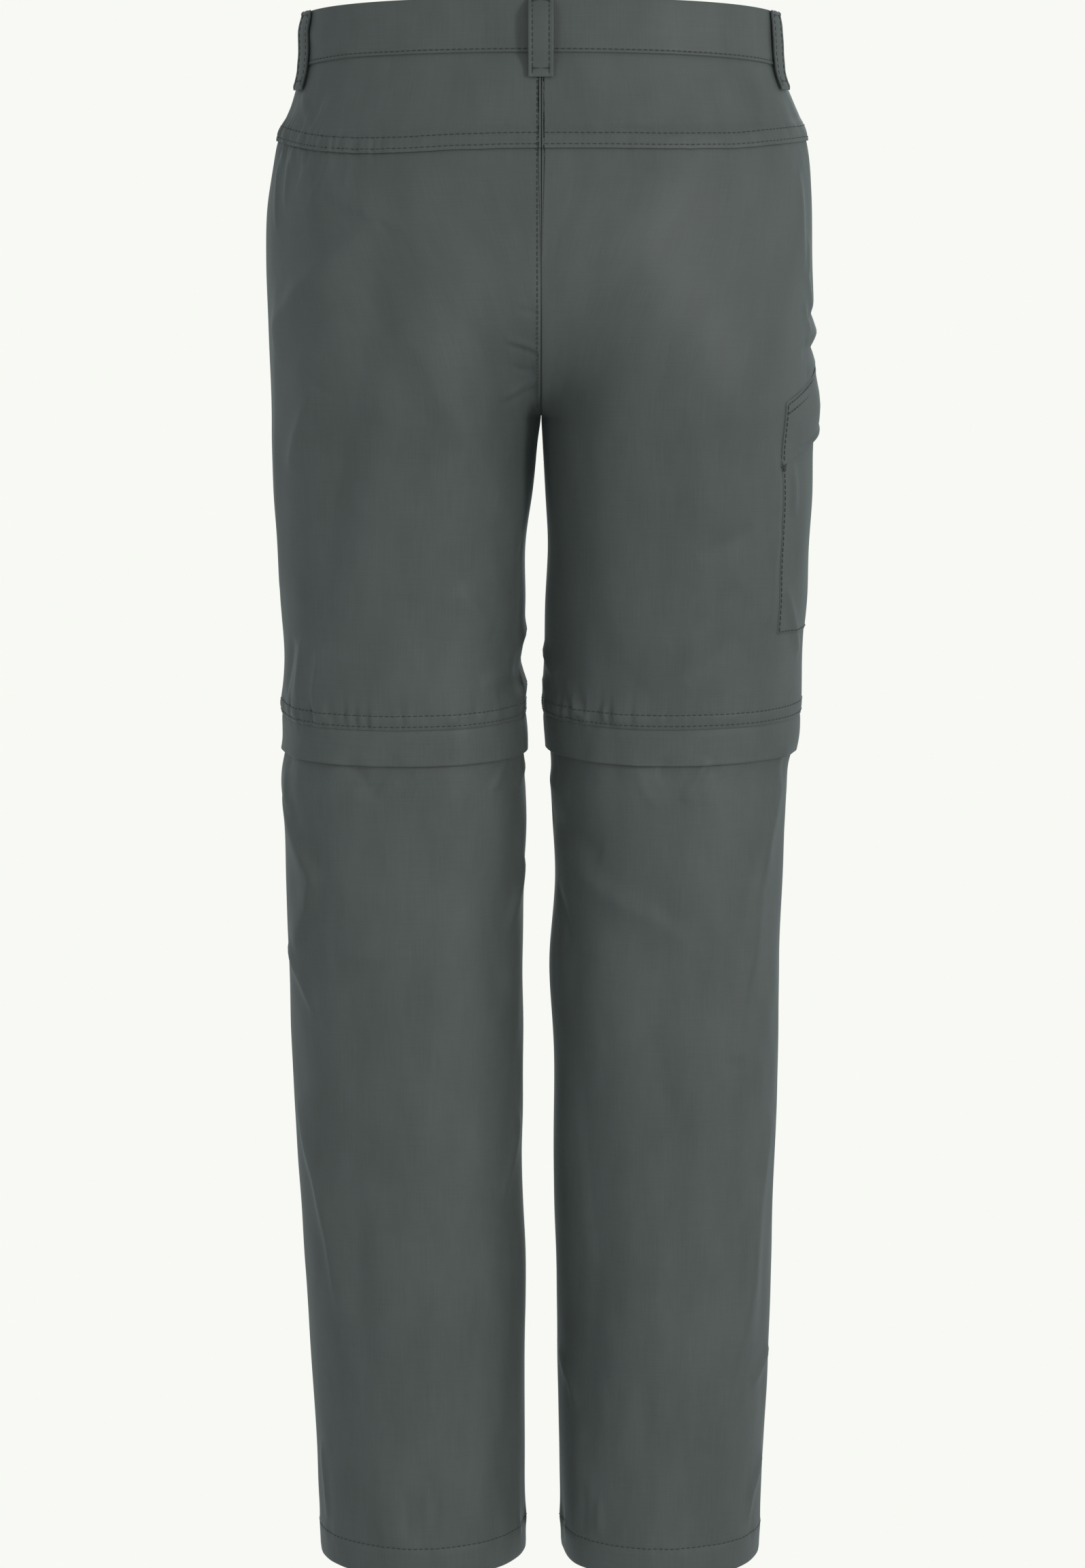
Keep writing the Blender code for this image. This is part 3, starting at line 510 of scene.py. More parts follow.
def pucker_height(leg, angle, drop):
    total = np.zeros(angle.shape)
    for pucker in PUCKERS:
        facing = angle * pucker.centre_deg > 0
        if pucker.leg != leg or not facing.any():
            continue
        off = drop - SEAM_LINES[pucker.line](leg, angle) - pucker.offset
        reach = np.where(off < 0, pucker.above, pucker.below)
        cells = int(LEG_GIRTH / pucker.spacing)
        seed = int(abs(pucker.centre_deg) * 7 + cells)
        gather = noise(seed, angle / 360, drop, cells, 0.03)
        amount = 0.6 + 0.4 * noise(seed + 1, angle / 360, drop * 0, 14, 1.0)
        strong = np.exp(-(((angle - pucker.centre_deg) / pucker.reach_deg) ** 2))
        near = np.exp(-((np.abs(off) / reach) ** 1.5))
        total += facing * pucker.height * gather * amount * strong * near
    return total


def surface(leg, angle, drop, lift=0.0):
    """Points at a height over the folded cloth, and the directions out of it."""
    angle, drop, lift = np.broadcast_arrays(*(np.asarray(value, float) for value in (angle, drop, lift)))
    normal = cloth_normal(leg, angle, drop)
    height = lift + fold_height(FOLDS, leg, angle, drop) + fold_height(CREASES, leg, angle, drop)
    height = height + drape_height(leg, angle, drop) + pucker_height(leg, angle, drop)
    return cloth_point(leg, angle, drop) + normal * height[..., None], normal


def stations(start, end, coarse, zones=()):
    """Places from start to end, closer together in zones of (centre, reach, step)."""
    places = [start]
    while places[-1] < end - coarse * 0.4:
        here = places[-1]
        steps = [step for centre, reach, step in zones if abs(here - centre) < reach]
        places.append(here + min([coarse, *steps]))
    places[-1] = end
    return places


def leveled(levels, top, bottom):
    """Rows of drops, one for each level, that bend to follow the top and bottom lines near them."""
    reach = 0.08
    levels = np.array(levels)[:, None]
    near_top = np.clip(1 - (levels - levels[0]) / reach, 0, 1)
    near_bottom = np.clip(1 - (levels[-1] - levels) / reach, 0, 1)
    return levels + (top - levels[0]) * near_top + (bottom - levels[-1]) * near_bottom


class Columns(NamedTuple):
    """Columns of a cloth's grid: the leg, the angle, and how far each is tucked in or turned under."""

    legs: np.ndarray
    angles: np.ndarray
    tucks: np.ndarray


def columns_of(pairs, tucks=None):
    legs, angles = zip(*pairs)
    tucks = np.zeros(len(pairs)) if tucks is None else np.array(tucks)
    return Columns(np.array(legs), np.array(angles, float), tucks)


SEAM_TUCKS = (-SEAM_ALLOWANCE, -0.0012, -0.0004)


def half_round(leg, facing, step=1.5):
    """Columns of a panel from its side seam to its inner seam, with both edges turned in."""
    inside = [0.35, 0.8, 1.4, *np.arange(step, 180 - step / 2, step), 178.6, 179.2, 179.65]
    angles = [SEAM_DEG] * len(SEAM_TUCKS) + inside + [180 - SEAM_DEG] * len(SEAM_TUCKS)
    tucks = [*SEAM_TUCKS, *[0.0] * len(inside), *reversed(SEAM_TUCKS)]
    return columns_of([(leg, facing * angle) for angle in angles], tucks)


def all_round(leg, step=1.5):
    """Columns of a ring round one leg."""
    return columns_of([(leg, angle) for angle in np.arange(-180 + step, 180 + step / 2, step)])


def waist_lines(columns, height):
    """Drop of a waist line at each column."""
    pairs = zip(columns.legs, columns.angles)
    return np.array([waist_line(leg, angle, height) for leg, angle in pairs])


def grid_mesh(name, points, weave, outward, closed=False):
    """A sheet through a grid of points, facing outward, that carries where each point lies on the cloth."""
    rows, count = points.shape[:2]
    index = np.arange(rows * count).reshape(rows, count)
    after = np.roll(index, -1, axis=1)
    if not closed:
        index, after = index[:, :-1], after[:, :-1]
    quads = np.stack((index[:-1], after[:-1], after[1:], index[1:]), axis=-1).reshape(-1, 4)
    flat = points.reshape(-1, 3)
    middle = quads[len(quads) // 2]
    facing = np.cross(flat[middle[1]] - flat[middle[0]], flat[middle[3]] - flat[middle[0]])
    if facing @ outward.reshape(-1, 3)[middle[0]] < 0:
        quads = quads[:, ::-1]
    mesh = bpy.data.meshes.new(name)
    mesh.from_pydata(flat.tolist(), [], quads.tolist())
    layer = mesh.attributes.new("weave", "FLOAT_VECTOR", "POINT")
    layer.data.foreach_set("vector", weave.reshape(-1, 3).astype(np.float32).ravel())
    mesh.shade_smooth()
    mesh.validate()
    return mesh


def add_piece(name, mesh, material, nodes=()):
    """Adds a piece that rides with the trousers and stands for the nodes."""
    piece = bpy.data.objects.new(name, mesh)
    bpy.context.scene.collection.objects.link(piece)
    if material is not None:
        mesh.materials.append(material)
    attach(piece, "root")
    if nodes:
        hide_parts(*nodes)
    return piece


def place(columns, drops, lift):
    """Points, directions and weave places of a grid of drops and lifts. Edges turned in at the centre
    seams go into the body, and those of the legs' seams go in square to the cloth. Both pieces of a seam
    lean the same way, which closes the seam to the light."""
    drops, lift = np.broadcast_arrays(drops, lift)
    points, normals = np.zeros((*drops.shape, 3)), np.zeros((*drops.shape, 3))
    for leg in SIDE:
        mine = columns.legs == leg
        if mine.any():
            angles = np.broadcast_to(columns.angles[mine], drops[:, mine].shape)
            points[:, mine], normals[:, mine] = surface(leg, angles, drops[:, mine], lift[:, mine])
    centred = (np.abs(columns.angles) > 179.5) & (drops < CROTCH_DROP)
    facing = np.sign(columns.angles)[:, None]
    into_body = np.broadcast_to(facing * (0, 1, 0) + np.array((TUCK_LEAN, 0, 0)), points.shape)
    into_leg = normals - np.array((0, TUCK_LEAN, 0))
    points = points + np.where(centred[..., None], into_body, into_leg) * columns.tucks[:, None]
    side = np.array([SIDE[leg] for leg in columns.legs])
    around = np.broadcast_to(np.radians(columns.angles) * LEG_RADIUS * side, drops.shape)
    return points, normals, np.stack((around, drops, lift), axis=-1)


def cloth_piece(name, node, columns, drops, lift, material, flat, closed=False):
    """One cut piece of cloth as a thin sheet; the flat size that it was cut to is passed but not used."""
    points, normals, weave = place(columns, drops, lift)
    piece = add_piece(name, grid_mesh(name, points, weave, normals, closed), material, [node])


class Seam:
    """Stitches gathered into one mesh."""

    def __init__(self):
        self.points, self.faces = [], []

    def stitch(self, start, end, out, radius=THREAD_RADIUS):
        """One stitch, a short thread that dips into the cloth at both ends."""
        run = end - start
        across = np.cross(run, out)
        across /= max(np.linalg.norm(across), 1e-9)
        turns = np.linspace(0, 2 * math.pi, STITCH_SIDES, endpoint=False)
        base = len(self.points)
        for share, size, rise in STITCH_RINGS:
            centre = start + run * share + out * radius * rise
            for turn in turns:
                self.points.append(centre + radius * size * (math.cos(turn) * across + math.sin(turn) * out))
        last = base + (len(STITCH_RINGS) - 1) * STITCH_SIDES
        for ring in range(base, last, STITCH_SIDES):
            for side in range(STITCH_SIDES):
                a, b = ring + side, ring + (side + 1) % STITCH_SIDES
                self.faces.append((a, b, b + STITCH_SIDES, a + STITCH_SIDES))
        self.faces.append(tuple(base + side for side in reversed(range(STITCH_SIDES))))
        self.faces.append(tuple(last + side for side in range(STITCH_SIDES)))

    def row(self, leg, angles, drops, lift, pitch=STITCH_PITCH, length=STITCH_LENGTH):
        """A row of stitches along a line on the cloth."""
        line, out = surface(leg, np.asarray(angles, float), np.asarray(drops, float), lift)
        self.along(line, out, pitch, length)

    def along(self, line, out, pitch=STITCH_PITCH, length=STITCH_LENGTH):
        steps = np.linalg.norm(np.diff(line, axis=0), axis=1)
        travelled = np.concatenate(((0,), np.cumsum(steps)))
        count = max(int(travelled[-1] / pitch), 1)
        gap = travelled[-1] / count

        def at(where, values):
            return np.array([np.interp(where, travelled, values[:, axis]) for axis in range(3)])

        for number in range(count):
            begin = number * gap + (gap - length * gap / pitch) / 2
            stop = begin + length * gap / pitch
            direction = at((begin + stop) / 2, out)
            self.stitch(at(begin, line), at(stop, line), direction / np.linalg.norm(direction))

    def finish(self, name, material):
        mesh = bpy.data.meshes.new(name)
        mesh.from_pydata([tuple(point) for point in self.points], [], self.faces)
        mesh.shade_smooth()
        mesh.validate()
        return add_piece(name, mesh, material)


class Value:
    """A number that varies over a surface. Arithmetic on it adds Math nodes."""

    def __init__(self, finish, socket):
        self.finish, self.socket = finish, socket

    def math(self, operation, *others):
        values = {number: value for number, value in enumerate((self, *others))}
        return self.finish.node("Math", {"operation": operation}, values)

    def __add__(self, other):
        return self.math("ADD", other)

    def __sub__(self, other):
        return self.math("SUBTRACT", other)

    def __mul__(self, other):
        return self.math("MULTIPLY", other)

    def __rsub__(self, other):
        return self.finish.node("Math", {"operation": "SUBTRACT"}, {0: other, 1: self})

    __radd__ = __add__

    def clamp(self, low=0.0, high=1.0):
        return self.math("MAXIMUM", low).math("MINIMUM", high)


class Finish:
    """One material: a Principled shader with its constant values, and nodes for what varies."""

    def __init__(self, name, **constants):
        self.material = bpy.data.materials.new(name)
        self.material.use_nodes = True
        self.tree = self.material.node_tree
        self.shader = self.tree.nodes["Principled BSDF"]
        for socket, value in constants.items():
            self.shader.inputs[socket.replace("_", " ")].default_value = value

    def feed(self, socket, value):
        if isinstance(value, Value):
            self.tree.links.new(value.socket, socket)
        else:
            socket.default_value = value

    def node(self, kind, settings=None, values=None, output=0):
        """Adds a node: its settings first, then its sockets' values or links."""
        made = self.tree.nodes.new(f"ShaderNode{kind}")
        for name, value in (settings or {}).items():
            setattr(made, name, value)
        for socket, value in (values or {}).items():
            self.feed(made.inputs[socket], value)
        return Value(self, made.outputs[output])

    def mix(self, factor, first, second):
        settings = {"data_type": "RGBA"}
        return self.node("Mix", settings, {0: factor, 6: first, 7: second}, output=2)

    def weave(self, scale):
        """Where a point lies on its cloth, stretched by a scale."""
        where = self.node("Attribute", {"attribute_name": "weave"}, output=1)
        return self.node("VectorMath", {"operation": "MULTIPLY"}, {0: where, 1: scale})

    def noise(self, vector, scale, detail=2.0, roughness=0.5):
        values = {"Vector": vector, "Scale": scale, "Detail": detail, "Roughness": roughness}
        return self.node("TexNoise", {}, values)

    def set(self, socket, value):
        self.feed(self.shader.inputs[socket], value)

    def bump(self, height, distance, strength=1.0, under=None):
        values = {"Strength": strength, "Distance": distance, "Height": height}
        if under is not None:
            values["Normal"] = under
        return self.node("Bump", {}, values)


def colour(red, green, blue):
    """A colour given in display values of 0 to 255."""
    return (*(((value / 255 + 0.055) / 1.055) ** 2.4 for value in (red, green, blue)), 1.0)


def woven_cloth(name, base, dark, light):
    """Light plain-weave synthetic cloth: fine threads, uneven yarns and a soft sheen."""
    finish = Finish(name, Specular_IOR_Level=0.4, Sheen_Weight=0.18, Sheen_Roughness=0.35)
    finish.shader.inputs["Sheen Tint"].default_value = (0.72, 0.90, 0.88, 1)
    cloudy = finish.noise(finish.weave((1, 0.5, 1)), 26, 3, 0.55)
    warp = finish.noise(finish.weave((1, 0.02, 1)), 1500, 2, 0.6)
    weft = finish.noise(finish.weave((0.02, 1, 1)), 1500, 2, 0.6)
    tone = cloudy * 0.5 + warp * 0.32 + weft * 0.18
    tinted = finish.mix(((tone - 0.36) * 3.4).clamp(), dark, light)
    finish.set("Base Color", finish.mix(0.55, base, tinted))
    finish.set("Roughness", 0.50 + warp * 0.10 + cloudy * 0.06)
    threads = warp * 0.6 + weft * 0.6
    fine = finish.bump(threads, 0.00012, 0.55)
    crumple = finish.noise(finish.weave((1, 1, 1)), 160, 3, 0.6)
    finish.set("Normal", finish.bump(crumple, 0.0006, 0.22, fine))
    return finish.material


# Thread whose base colour is set darker than the cloth's tone: painted shade that stands in for the shadows
# of the needle holes and stitch dents along each row. The twist mix is the thread's own uneven tone.
def sewing_thread(name, base):
    finish = Finish(name, Specular_IOR_Level=0.3, Sheen_Weight=0.15)
    where = finish.node("TexCoord", output=3)
    twist = finish.noise(where, 2600, 1)
    finish.set("Base Color", finish.mix(twist, base, colour(62, 68, 65)))
    finish.set("Roughness", 0.55 + twist * 0.15)
    return finish.material


def zip_tape(name):
    finish = Finish(name, Specular_IOR_Level=0.25)
    ribs = finish.noise(finish.weave((0.05, 1, 1)), 1900, 1)
    finish.set("Base Color", finish.mix(ribs, colour(36, 40, 39), colour(60, 66, 63)))
    finish.set("Roughness", 0.7 + ribs * 0.1)
    finish.set("Normal", finish.bump(ribs, 0.0002, 0.6))
    return finish.material


def moulded_plastic(name, base):
    finish = Finish(name, Specular_IOR_Level=0.45, Coat_Weight=0.0)
    where = finish.node("TexCoord", output=3)
    grain = finish.noise(where, 900, 3, 0.6)
    scuffs = finish.noise(where, 160, 2, 0.7)
    finish.set("Base Color", finish.mix(scuffs, base, colour(70, 76, 73)))
    finish.set("Roughness", 0.36 + scuffs * 0.16)
    finish.set("Normal", finish.bump(grain, 0.0001, 0.3))
    return finish.material


def painted_metal(name):
    finish = Finish(name, Specular_IOR_Level=0.5)
    where = finish.node("TexCoord", output=3)
    wear = finish.noise(where, 420, 3, 0.65)
    rubbed = ((wear - 0.56) * 9).clamp()
    finish.set("Base Color", finish.mix(rubbed, colour(64, 68, 67), colour(150, 152, 150)))
    finish.set("Metallic", 0.35 + rubbed * 0.6)
    finish.set("Roughness", 0.46 - rubbed * 0.12)
    return finish.material


CLOTH_FINISH = woven_cloth("trouser_cloth", colour(81, 88, 85), colour(71, 77, 74), colour(91, 98, 95))
# The thread is tone-on-tone with the cloth; its darker colour here is painted shade of the needle holes
# along the rows.
THREAD = sewing_thread("sewing_thread", colour(46, 52, 49))
TAPE = zip_tape("zip_tape")
BUTTON = moulded_plastic("button_plastic", colour(58, 64, 61))
METAL = painted_metal("slider_metal")

# Turned edges: (distance past the edge, lift against the piece's own) pairs that roll the cloth under
ROLL = ((0.0003, -0.0003), (0.0002, -0.0009), (-0.0006, -0.0012), (-0.0060, -0.0013), (-0.0120, -0.0013))


def profile(pairs, offsets):
    """Lift in metres at an offset, from a profile of (offset, lift) pairs in millimetres."""
    where, heights = zip(*pairs)
    return np.interp(np.asarray(offsets) / MM, where, heights) * MM


BAND_PROFILE = (
    (0, 0.35), (0.5, 0.95), (1.1, 1.00), (2.3, 0.45), (3.8, 0.80), (18, 0.95), (33, 0.80), (36, 0.55),
)
YOKE_PROFILE = (
    (0, 1.45), (0.5, 1.85), (1.1, 1.85), (2.3, 1.38), (4.0, 1.70), (8.2, 1.65), (9.6, 1.30),
    (11.5, 1.10), (15, 0.35), (22, 0), (90, 0),
)
THIGH_PROFILE = (
    (0, 0.15), (1.0, 0.35), (2.3, 0.10), (4.5, 0.50), (8.5, 0.50), (9.8, 0.05), (12, 0.10),
    (18, 0), (500, 0),
)
FLAP_PROFILE = ((-6, -1.4), (-0.5, -0.9), (1.0, -0.35), (4, 0.15), (12, 0.60), (24, 0.95))
HEM_PROFILE = (
    (0, 0.05), (2, 0.30), (16, 0.35), (19.0, 0.15), (20.0, -0.12), (21.2, 0.05), (26, 0), (600, 0),
)
FLAP_SEWN_PROFILE = ((0, 0.2), (0.8, 0.8), (35.5, 0.9), (37.5, 0.6), (39.5, 1.8), (41, 1.8))
FLAP_FREE_PROFILE = (
    (0, 0.2), (0.8, 1.1), (3, 1.3), (8, 2.2), (16, 3.6), (24, 4.2), (35, 3.9), (37.5, 3.4),
    (39.5, 4.8), (41, 4.8),
)
FRONT_TOP_PROFILE = ((-6, -1.0), (-1, -0.7), (1.5, -0.1), (6, 0), (500, 0))


def cut_size(columns, drops):
    """Flat width and length that a piece is cut to, with its seam allowances."""
    points, _, _ = place(columns, drops, 0.0)
    across = np.linalg.norm(np.diff(points, axis=1), axis=2).sum(axis=1).max()
    down = np.linalg.norm(np.diff(points, axis=0), axis=2).sum(axis=0).max()
    return round(float(across), 3), round(float(down), 3)


def cut_piece(name, columns, drops, lift):
    """A hung piece of cloth, whose flat size is measured on its own grid."""
    cloth_piece(f"{name}_cloth", name, columns, drops, lift, CLOTH_FINISH, cut_size(columns, drops))


def turned_edge(bottom, start, roll=ROLL):
    """Drops and lifts of the rows that roll under past a panel's lower edge."""
    drops = np.array([bottom + past for past, _ in roll])
    lift = np.array([[start + sunk] for _, sunk in roll]) + np.zeros(len(bottom))
    return drops, lift


def build_waistband():
    """Doubled strip that laps at the centre front, with one row of topstitching along its lower edge."""
    step = 1.5
    left = [("left", angle) for angle in np.arange(-180, 180.1, step)]
    right = [("right", angle) for angle in np.arange(180 - step, -156, -step)]
    over_end = [("right", angle) for angle in np.arange(-169, -180, -step)]
    under = [("right", angle) for angle in np.arange(-157.5, -179.9, -step)]
    under += [("left", angle) for angle in np.arange(-180, -155.9, step)]
    pairs = [*over_end, *left, *right, *under]
    columns = columns_of(pairs)
    sunk = np.zeros(len(pairs))
    start = len(pairs) - len(under)
    ramp = smooth(np.arange(len(under)) / 8)
    sunk[start:] = -ramp * (BAND_CLOTH + 2 * SEAM_GAP)
    offsets = [0, *stations(0.0006, 0.0352, 0.0022, ((0.0023, 0.0025, 0.0006),)), WAISTBAND_HEIGHT]
    lower = WAISTBAND_HEIGHT - 0.0004
    rows = [(lower - offset * 0.985, profile(BAND_PROFILE, offset)) for offset in offsets]
    under_top = ((0.0000, -0.0002), (0.0002, -0.0010), (0.0010, -0.0016), (0.0060, -0.0018))
    rows = [(WAISTBAND_HEIGHT - 0.0010, -0.0012), (WAISTBAND_HEIGHT - 0.0003, -0.0003), *rows, *under_top]
    rows += [(0.018, -0.0018), (0.030, -0.0018), (WAISTBAND_HEIGHT, -0.0016)]
    lines = np.array([waist_lines(columns, height) for height, _ in rows])
    lift = np.array([lift for _, lift in rows])[:, None] + sunk
    edge = place(columns, lines[:1], 0)[0][0]
    points, normals, weave = place(columns, lines, lift)
    mesh = grid_mesh("waistband_cloth", points, weave, normals)
    piece = add_piece("waistband_cloth", mesh, CLOTH_FINISH, ["waistband"])
    seam = Seam()
    for leg in SIDE:
        angles = np.linspace(-179.5, 179.5, 700)
        drops = waist_line(leg, angles, WAISTBAND_HEIGHT - 0.0004 - STITCH_FROM_EDGE)
        seam.row(leg, angles, drops, profile(BAND_PROFILE, STITCH_FROM_EDGE) + STITCH_LIFT)
    seam.finish("stitches_waist", THREAD)


def build_yoke(leg):
    columns = half_round(leg, 1, 0.75)
    top = waist_lines(columns, WAISTBAND_HEIGHT)
    bottom = yoke_line(leg, columns.angles)
    height = bottom - top
    shares = stations(-0.10, 1.0, 0.04, ((1.0, 0.36, 0.022),))
    drops = [top + height * share for share in shares]
    lift = [profile(YOKE_PROFILE, bottom - row) + profile(FRONT_TOP_PROFILE, row - top) for row in drops]
    for past, sunk in ROLL[:-1]:
        drops.append(bottom + past)
        lift.append(np.full(len(bottom), YOKE_PROFILE[0][1] * MM + sunk * 0.8))
    cut_piece(f"yoke_{leg}", columns, np.array(drops), np.array(lift))
    seam = Seam()
    angles = np.linspace(1.0, 179.0, 500)
    for offset in (STITCH_FROM_EDGE, SECOND_ROW):
        seam.row(leg, angles, yoke_line(leg, angles) - offset, profile(YOKE_PROFILE, offset) + STITCH_LIFT)
    seam.finish(f"stitches_yoke_{leg}", THREAD)


def thigh_rows(top_level):
    top = (top_level + 0.010, 0.022, 0.0020)
    crotch = (CROTCH_DROP - 0.026, 0.050, 0.0016)
    knee = (KNEE_DROP, 0.016, 0.0011)
    return stations(top_level, KNEE_DROP, 0.0034, (top, crotch, knee))


def build_back(leg):
    columns = half_round(leg, 1, 1.0)
    bottom = knee_line(columns.angles)
    levels = thigh_rows(YOKE_DROP - YOKE_LAP)
    drops = leveled(levels, yoke_line(leg, columns.angles) - YOKE_LAP, bottom)
    lift = profile(THIGH_PROFILE, bottom - drops)
    edge, rolled = turned_edge(bottom, THIGH_PROFILE[0][1] * MM)
    cut_piece(f"back_{leg}", columns, np.vstack((drops, edge)), np.vstack((lift, rolled)))


def build_front(leg):
    columns = half_round(leg, -1)
    bottom = knee_line(columns.angles)
    top = waist_lines(columns, WAISTBAND_HEIGHT)
    levels = thigh_rows(WAISTBAND_HEIGHT)
    drops = leveled(levels, top, bottom)
    above = np.array([top - 0.006, top - 0.002])
    lift = profile(THIGH_PROFILE, bottom - drops) + profile(FRONT_TOP_PROFILE, drops - top)
    lifted = profile(FRONT_TOP_PROFILE, above - top)
    edge, rolled = turned_edge(bottom, THIGH_PROFILE[0][1] * MM)
    cut_piece(f"front_{leg}", columns, np.vstack((above, drops, edge)), np.vstack((lifted, lift, rolled)))


def sew_knee(leg):
    """Two rows of topstitching above the thigh's edge."""
    seam = Seam()
    angles = np.linspace(-179.5, 179.5, 1100)
    for offset in (STITCH_FROM_EDGE, SECOND_ROW):
        seam.row(leg, angles, knee_line(angles) - offset, profile(THIGH_PROFILE, offset) + STITCH_LIFT)
    seam.finish(f"stitches_knee_{leg}", THREAD)


def build_knee_flap(leg):
    """Storm flap: doubled, hanging from under the thigh's edge over the zip."""
    columns = all_round(leg)
    top = knee_line(columns.angles)
    offsets = stations(-0.006, STORM_FLAP_HEIGHT, 0.0018, ((0, 0.003, 0.0008),))
    drops = [top + offset for offset in offsets]
    lift = [np.full(len(top), float(profile(FLAP_PROFILE, offset))) for offset in offsets]
    for past, sunk in (*ROLL[:4], (-0.014, -0.0013), (-0.020, -0.0012)):
        offset = STORM_FLAP_HEIGHT + past
        drops.append(top + offset)
        lift.append(np.full(len(top), float(profile(FLAP_PROFILE, offset)) + sunk))
    flat = (round(LEG_GIRTH, 3), 2 * STORM_FLAP_HEIGHT + 0.006)
    name = f"knee_flap_{leg}"
    drops, lift = np.array(drops), np.array(lift)
    cloth_piece(f"{name}_cloth", name, columns, drops, lift, CLOTH_FINISH, flat, closed=True)


def build_knee_zip(leg):
    """Zip tape with its row of coil teeth, under the flap."""
    columns = all_round(leg, 3.0)
    middle = knee_line(columns.angles) + ZIP_GAP / 2
    shares = (-0.5, -0.3, -0.12, 0.12, 0.3, 0.5)
    sunk = (0.0030, ZIP_RECESS, ZIP_RECESS, ZIP_RECESS, ZIP_RECESS, 0.0040)
    drops = np.array([middle + share * ZIP_WIDTH for share in shares])
    lift = -np.array(sunk)[:, None] + np.zeros(len(middle))
    flat = (round(LEG_GIRTH, 3), ZIP_WIDTH)
    name = f"knee_zip_{leg}"
    cloth_piece(f"{name}_tape", name, columns, drops, lift, TAPE, flat, closed=True)
    coil = Seam()
    turns = int(LEG_GIRTH / COIL_PITCH)
    for angle in np.linspace(-180, 180, turns, endpoint=False):
        drop = knee_line(angle) + ZIP_GAP / 2
        angles = np.array((angle, angle + COIL_LEAN_DEG))
        drops = np.array((drop - COIL_REACH, drop + COIL_REACH))
        ends, out = surface(leg, angles, drops, COIL_LIFT - ZIP_RECESS)
        coil.stitch(ends[0], ends[1], out[0], COIL_RADIUS)
    teeth = coil.finish(f"knee_zip_teeth_{leg}", TAPE)


def build_lower_leg(leg, facing):
    columns = half_round(leg, facing)
    top = knee_line(columns.angles) + ZIP_GAP
    bottom = hem_line(columns.angles)
    first = KNEE_DROP + ZIP_GAP
    flap_end = (first + 0.024, 0.022, 0.0020)
    sewing = (HEM_DROP - HEM_DEPTH, 0.006, 0.0010)
    levels = stations(first, HEM_DROP, 0.0036, (flap_end, sewing, (HEM_DROP, 0.004, 0.0016)))
    drops = leveled(levels, top, bottom)
    lift = -LEG_RECESS * (1 - smooth((drops - KNEE_DROP - STORM_FLAP_HEIGHT) / 0.03))
    lift = lift + profile(HEM_PROFILE, bottom - drops)
    edge, rolled = turned_edge(bottom, HEM_PROFILE[0][1] * MM, (*ROLL, (-HEM_DEPTH, -0.0011)))
    face = "back" if facing > 0 else "front"
    cut_piece(f"lower_{face}_{leg}", columns, np.vstack((drops, edge)), np.vstack((lift, rolled)))


def sew_hem(leg):
    seam = Seam()
    angles = np.linspace(-179.5, 179.5, 1000)
    lift = profile(HEM_PROFILE, HEM_DEPTH) + THREAD_RADIUS * 0.5
    seam.row(leg, angles, hem_line(angles) - HEM_DEPTH, lift)
    seam.finish(f"stitches_hem_{leg}", THREAD)


def sew_centre_seams():
    """Topstitching beside the centre back and centre front seams."""
    seam = Seam()
    drops = np.linspace(waist_line("left", 178.0, WAISTBAND_HEIGHT) + 0.002, CROTCH_DROP - 0.006, 300)
    for facing in (1, -1):
        heights = drops if facing > 0 else drops[drops > FLY_DROP + 0.004]
        across = OUTER["left"](heights)
        spread = 1 + smooth((heights - YOKE_DROP) / (CROTCH_DROP - YOKE_DROP))
        angles = facing * 2 * np.degrees(np.arccos((STITCH_FROM_EDGE / across) ** (1 / spread)))
        above = yoke_line("left", angles) - heights
        on_yoke = (above > 0) & (facing > 0)
        lift = np.where(on_yoke, profile(YOKE_PROFILE, above), 0) + STITCH_LIFT
        seam.row("left", angles, heights, lift)
    seam.finish("stitches_centre", THREAD)


# A belt loop's section in shares of its half width and thickness, with a stitched groove along each edge
LOOP_FACE = ((1, 0.5), (0.985, 0.9), (0.93, 1.0), (0.8, 0.93), (0.66, 0.72), (0.5, 0.9), (0, 1.0))
LOOP_UNDER = ((-0.985, 0.1), (-0.93, 0), (0, 0), (0.93, 0), (0.985, 0.1))
LOOP_SECTION = (*LOOP_FACE, *((-share, rise) for share, rise in reversed(LOOP_FACE[:-1])), *LOOP_UNDER)


def ribbon(node, leg, centre_deg, path, twist_deg):
    """A belt loop that follows a path of (height below the waist's top, lift). It twists by an angle where
    it stands off, and lies flat at its sewn ends."""
    heights, lifts = (np.array(values) for values in zip(*path))
    centre_drop = waist_line(leg, centre_deg, heights)
    middle, out = surface(leg, np.full(len(heights), float(centre_deg)), centre_drop, 0.0)
    down = np.gradient(middle, axis=0)
    across = np.cross(down, out)
    across /= np.linalg.norm(across, axis=1, keepdims=True)
    spine = middle + out * lifts[:, None]
    run = np.gradient(spine, axis=0)
    run /= np.linalg.norm(run, axis=1, keepdims=True)
    face = np.cross(across, run)
    face *= np.sign((face * out).sum(axis=1))[:, None]
    standing = (lifts - lifts.min()) / (lifts.max() - lifts.min())
    twist = np.radians(twist_deg * smooth(standing))[:, None]
    cos, sin = np.cos(twist), np.sin(twist)
    across, face = cos * across + sin * face, cos * face - sin * across
    rows = []
    for share, rise in LOOP_SECTION:
        rows.append(spine + across * share * LOOP_HALF_WIDTH + face * (rise - 0.5) * LOOP_CLOTH)
    points = np.array(rows).transpose(1, 0, 2)
    shares = np.array([share for share, _ in LOOP_SECTION])
    weave = np.stack(np.broadcast_arrays(shares * LOOP_HALF_WIDTH, heights[:, None], 0.0), axis=-1)
    outward = np.broadcast_to(face[:, None, :], points.shape)
    mesh = grid_mesh(f"{node}_cloth", points, weave, outward, closed=True)
    piece = add_piece(f"{node}_cloth", mesh, CLOTH_FINISH, [node])
    return spine, across, face


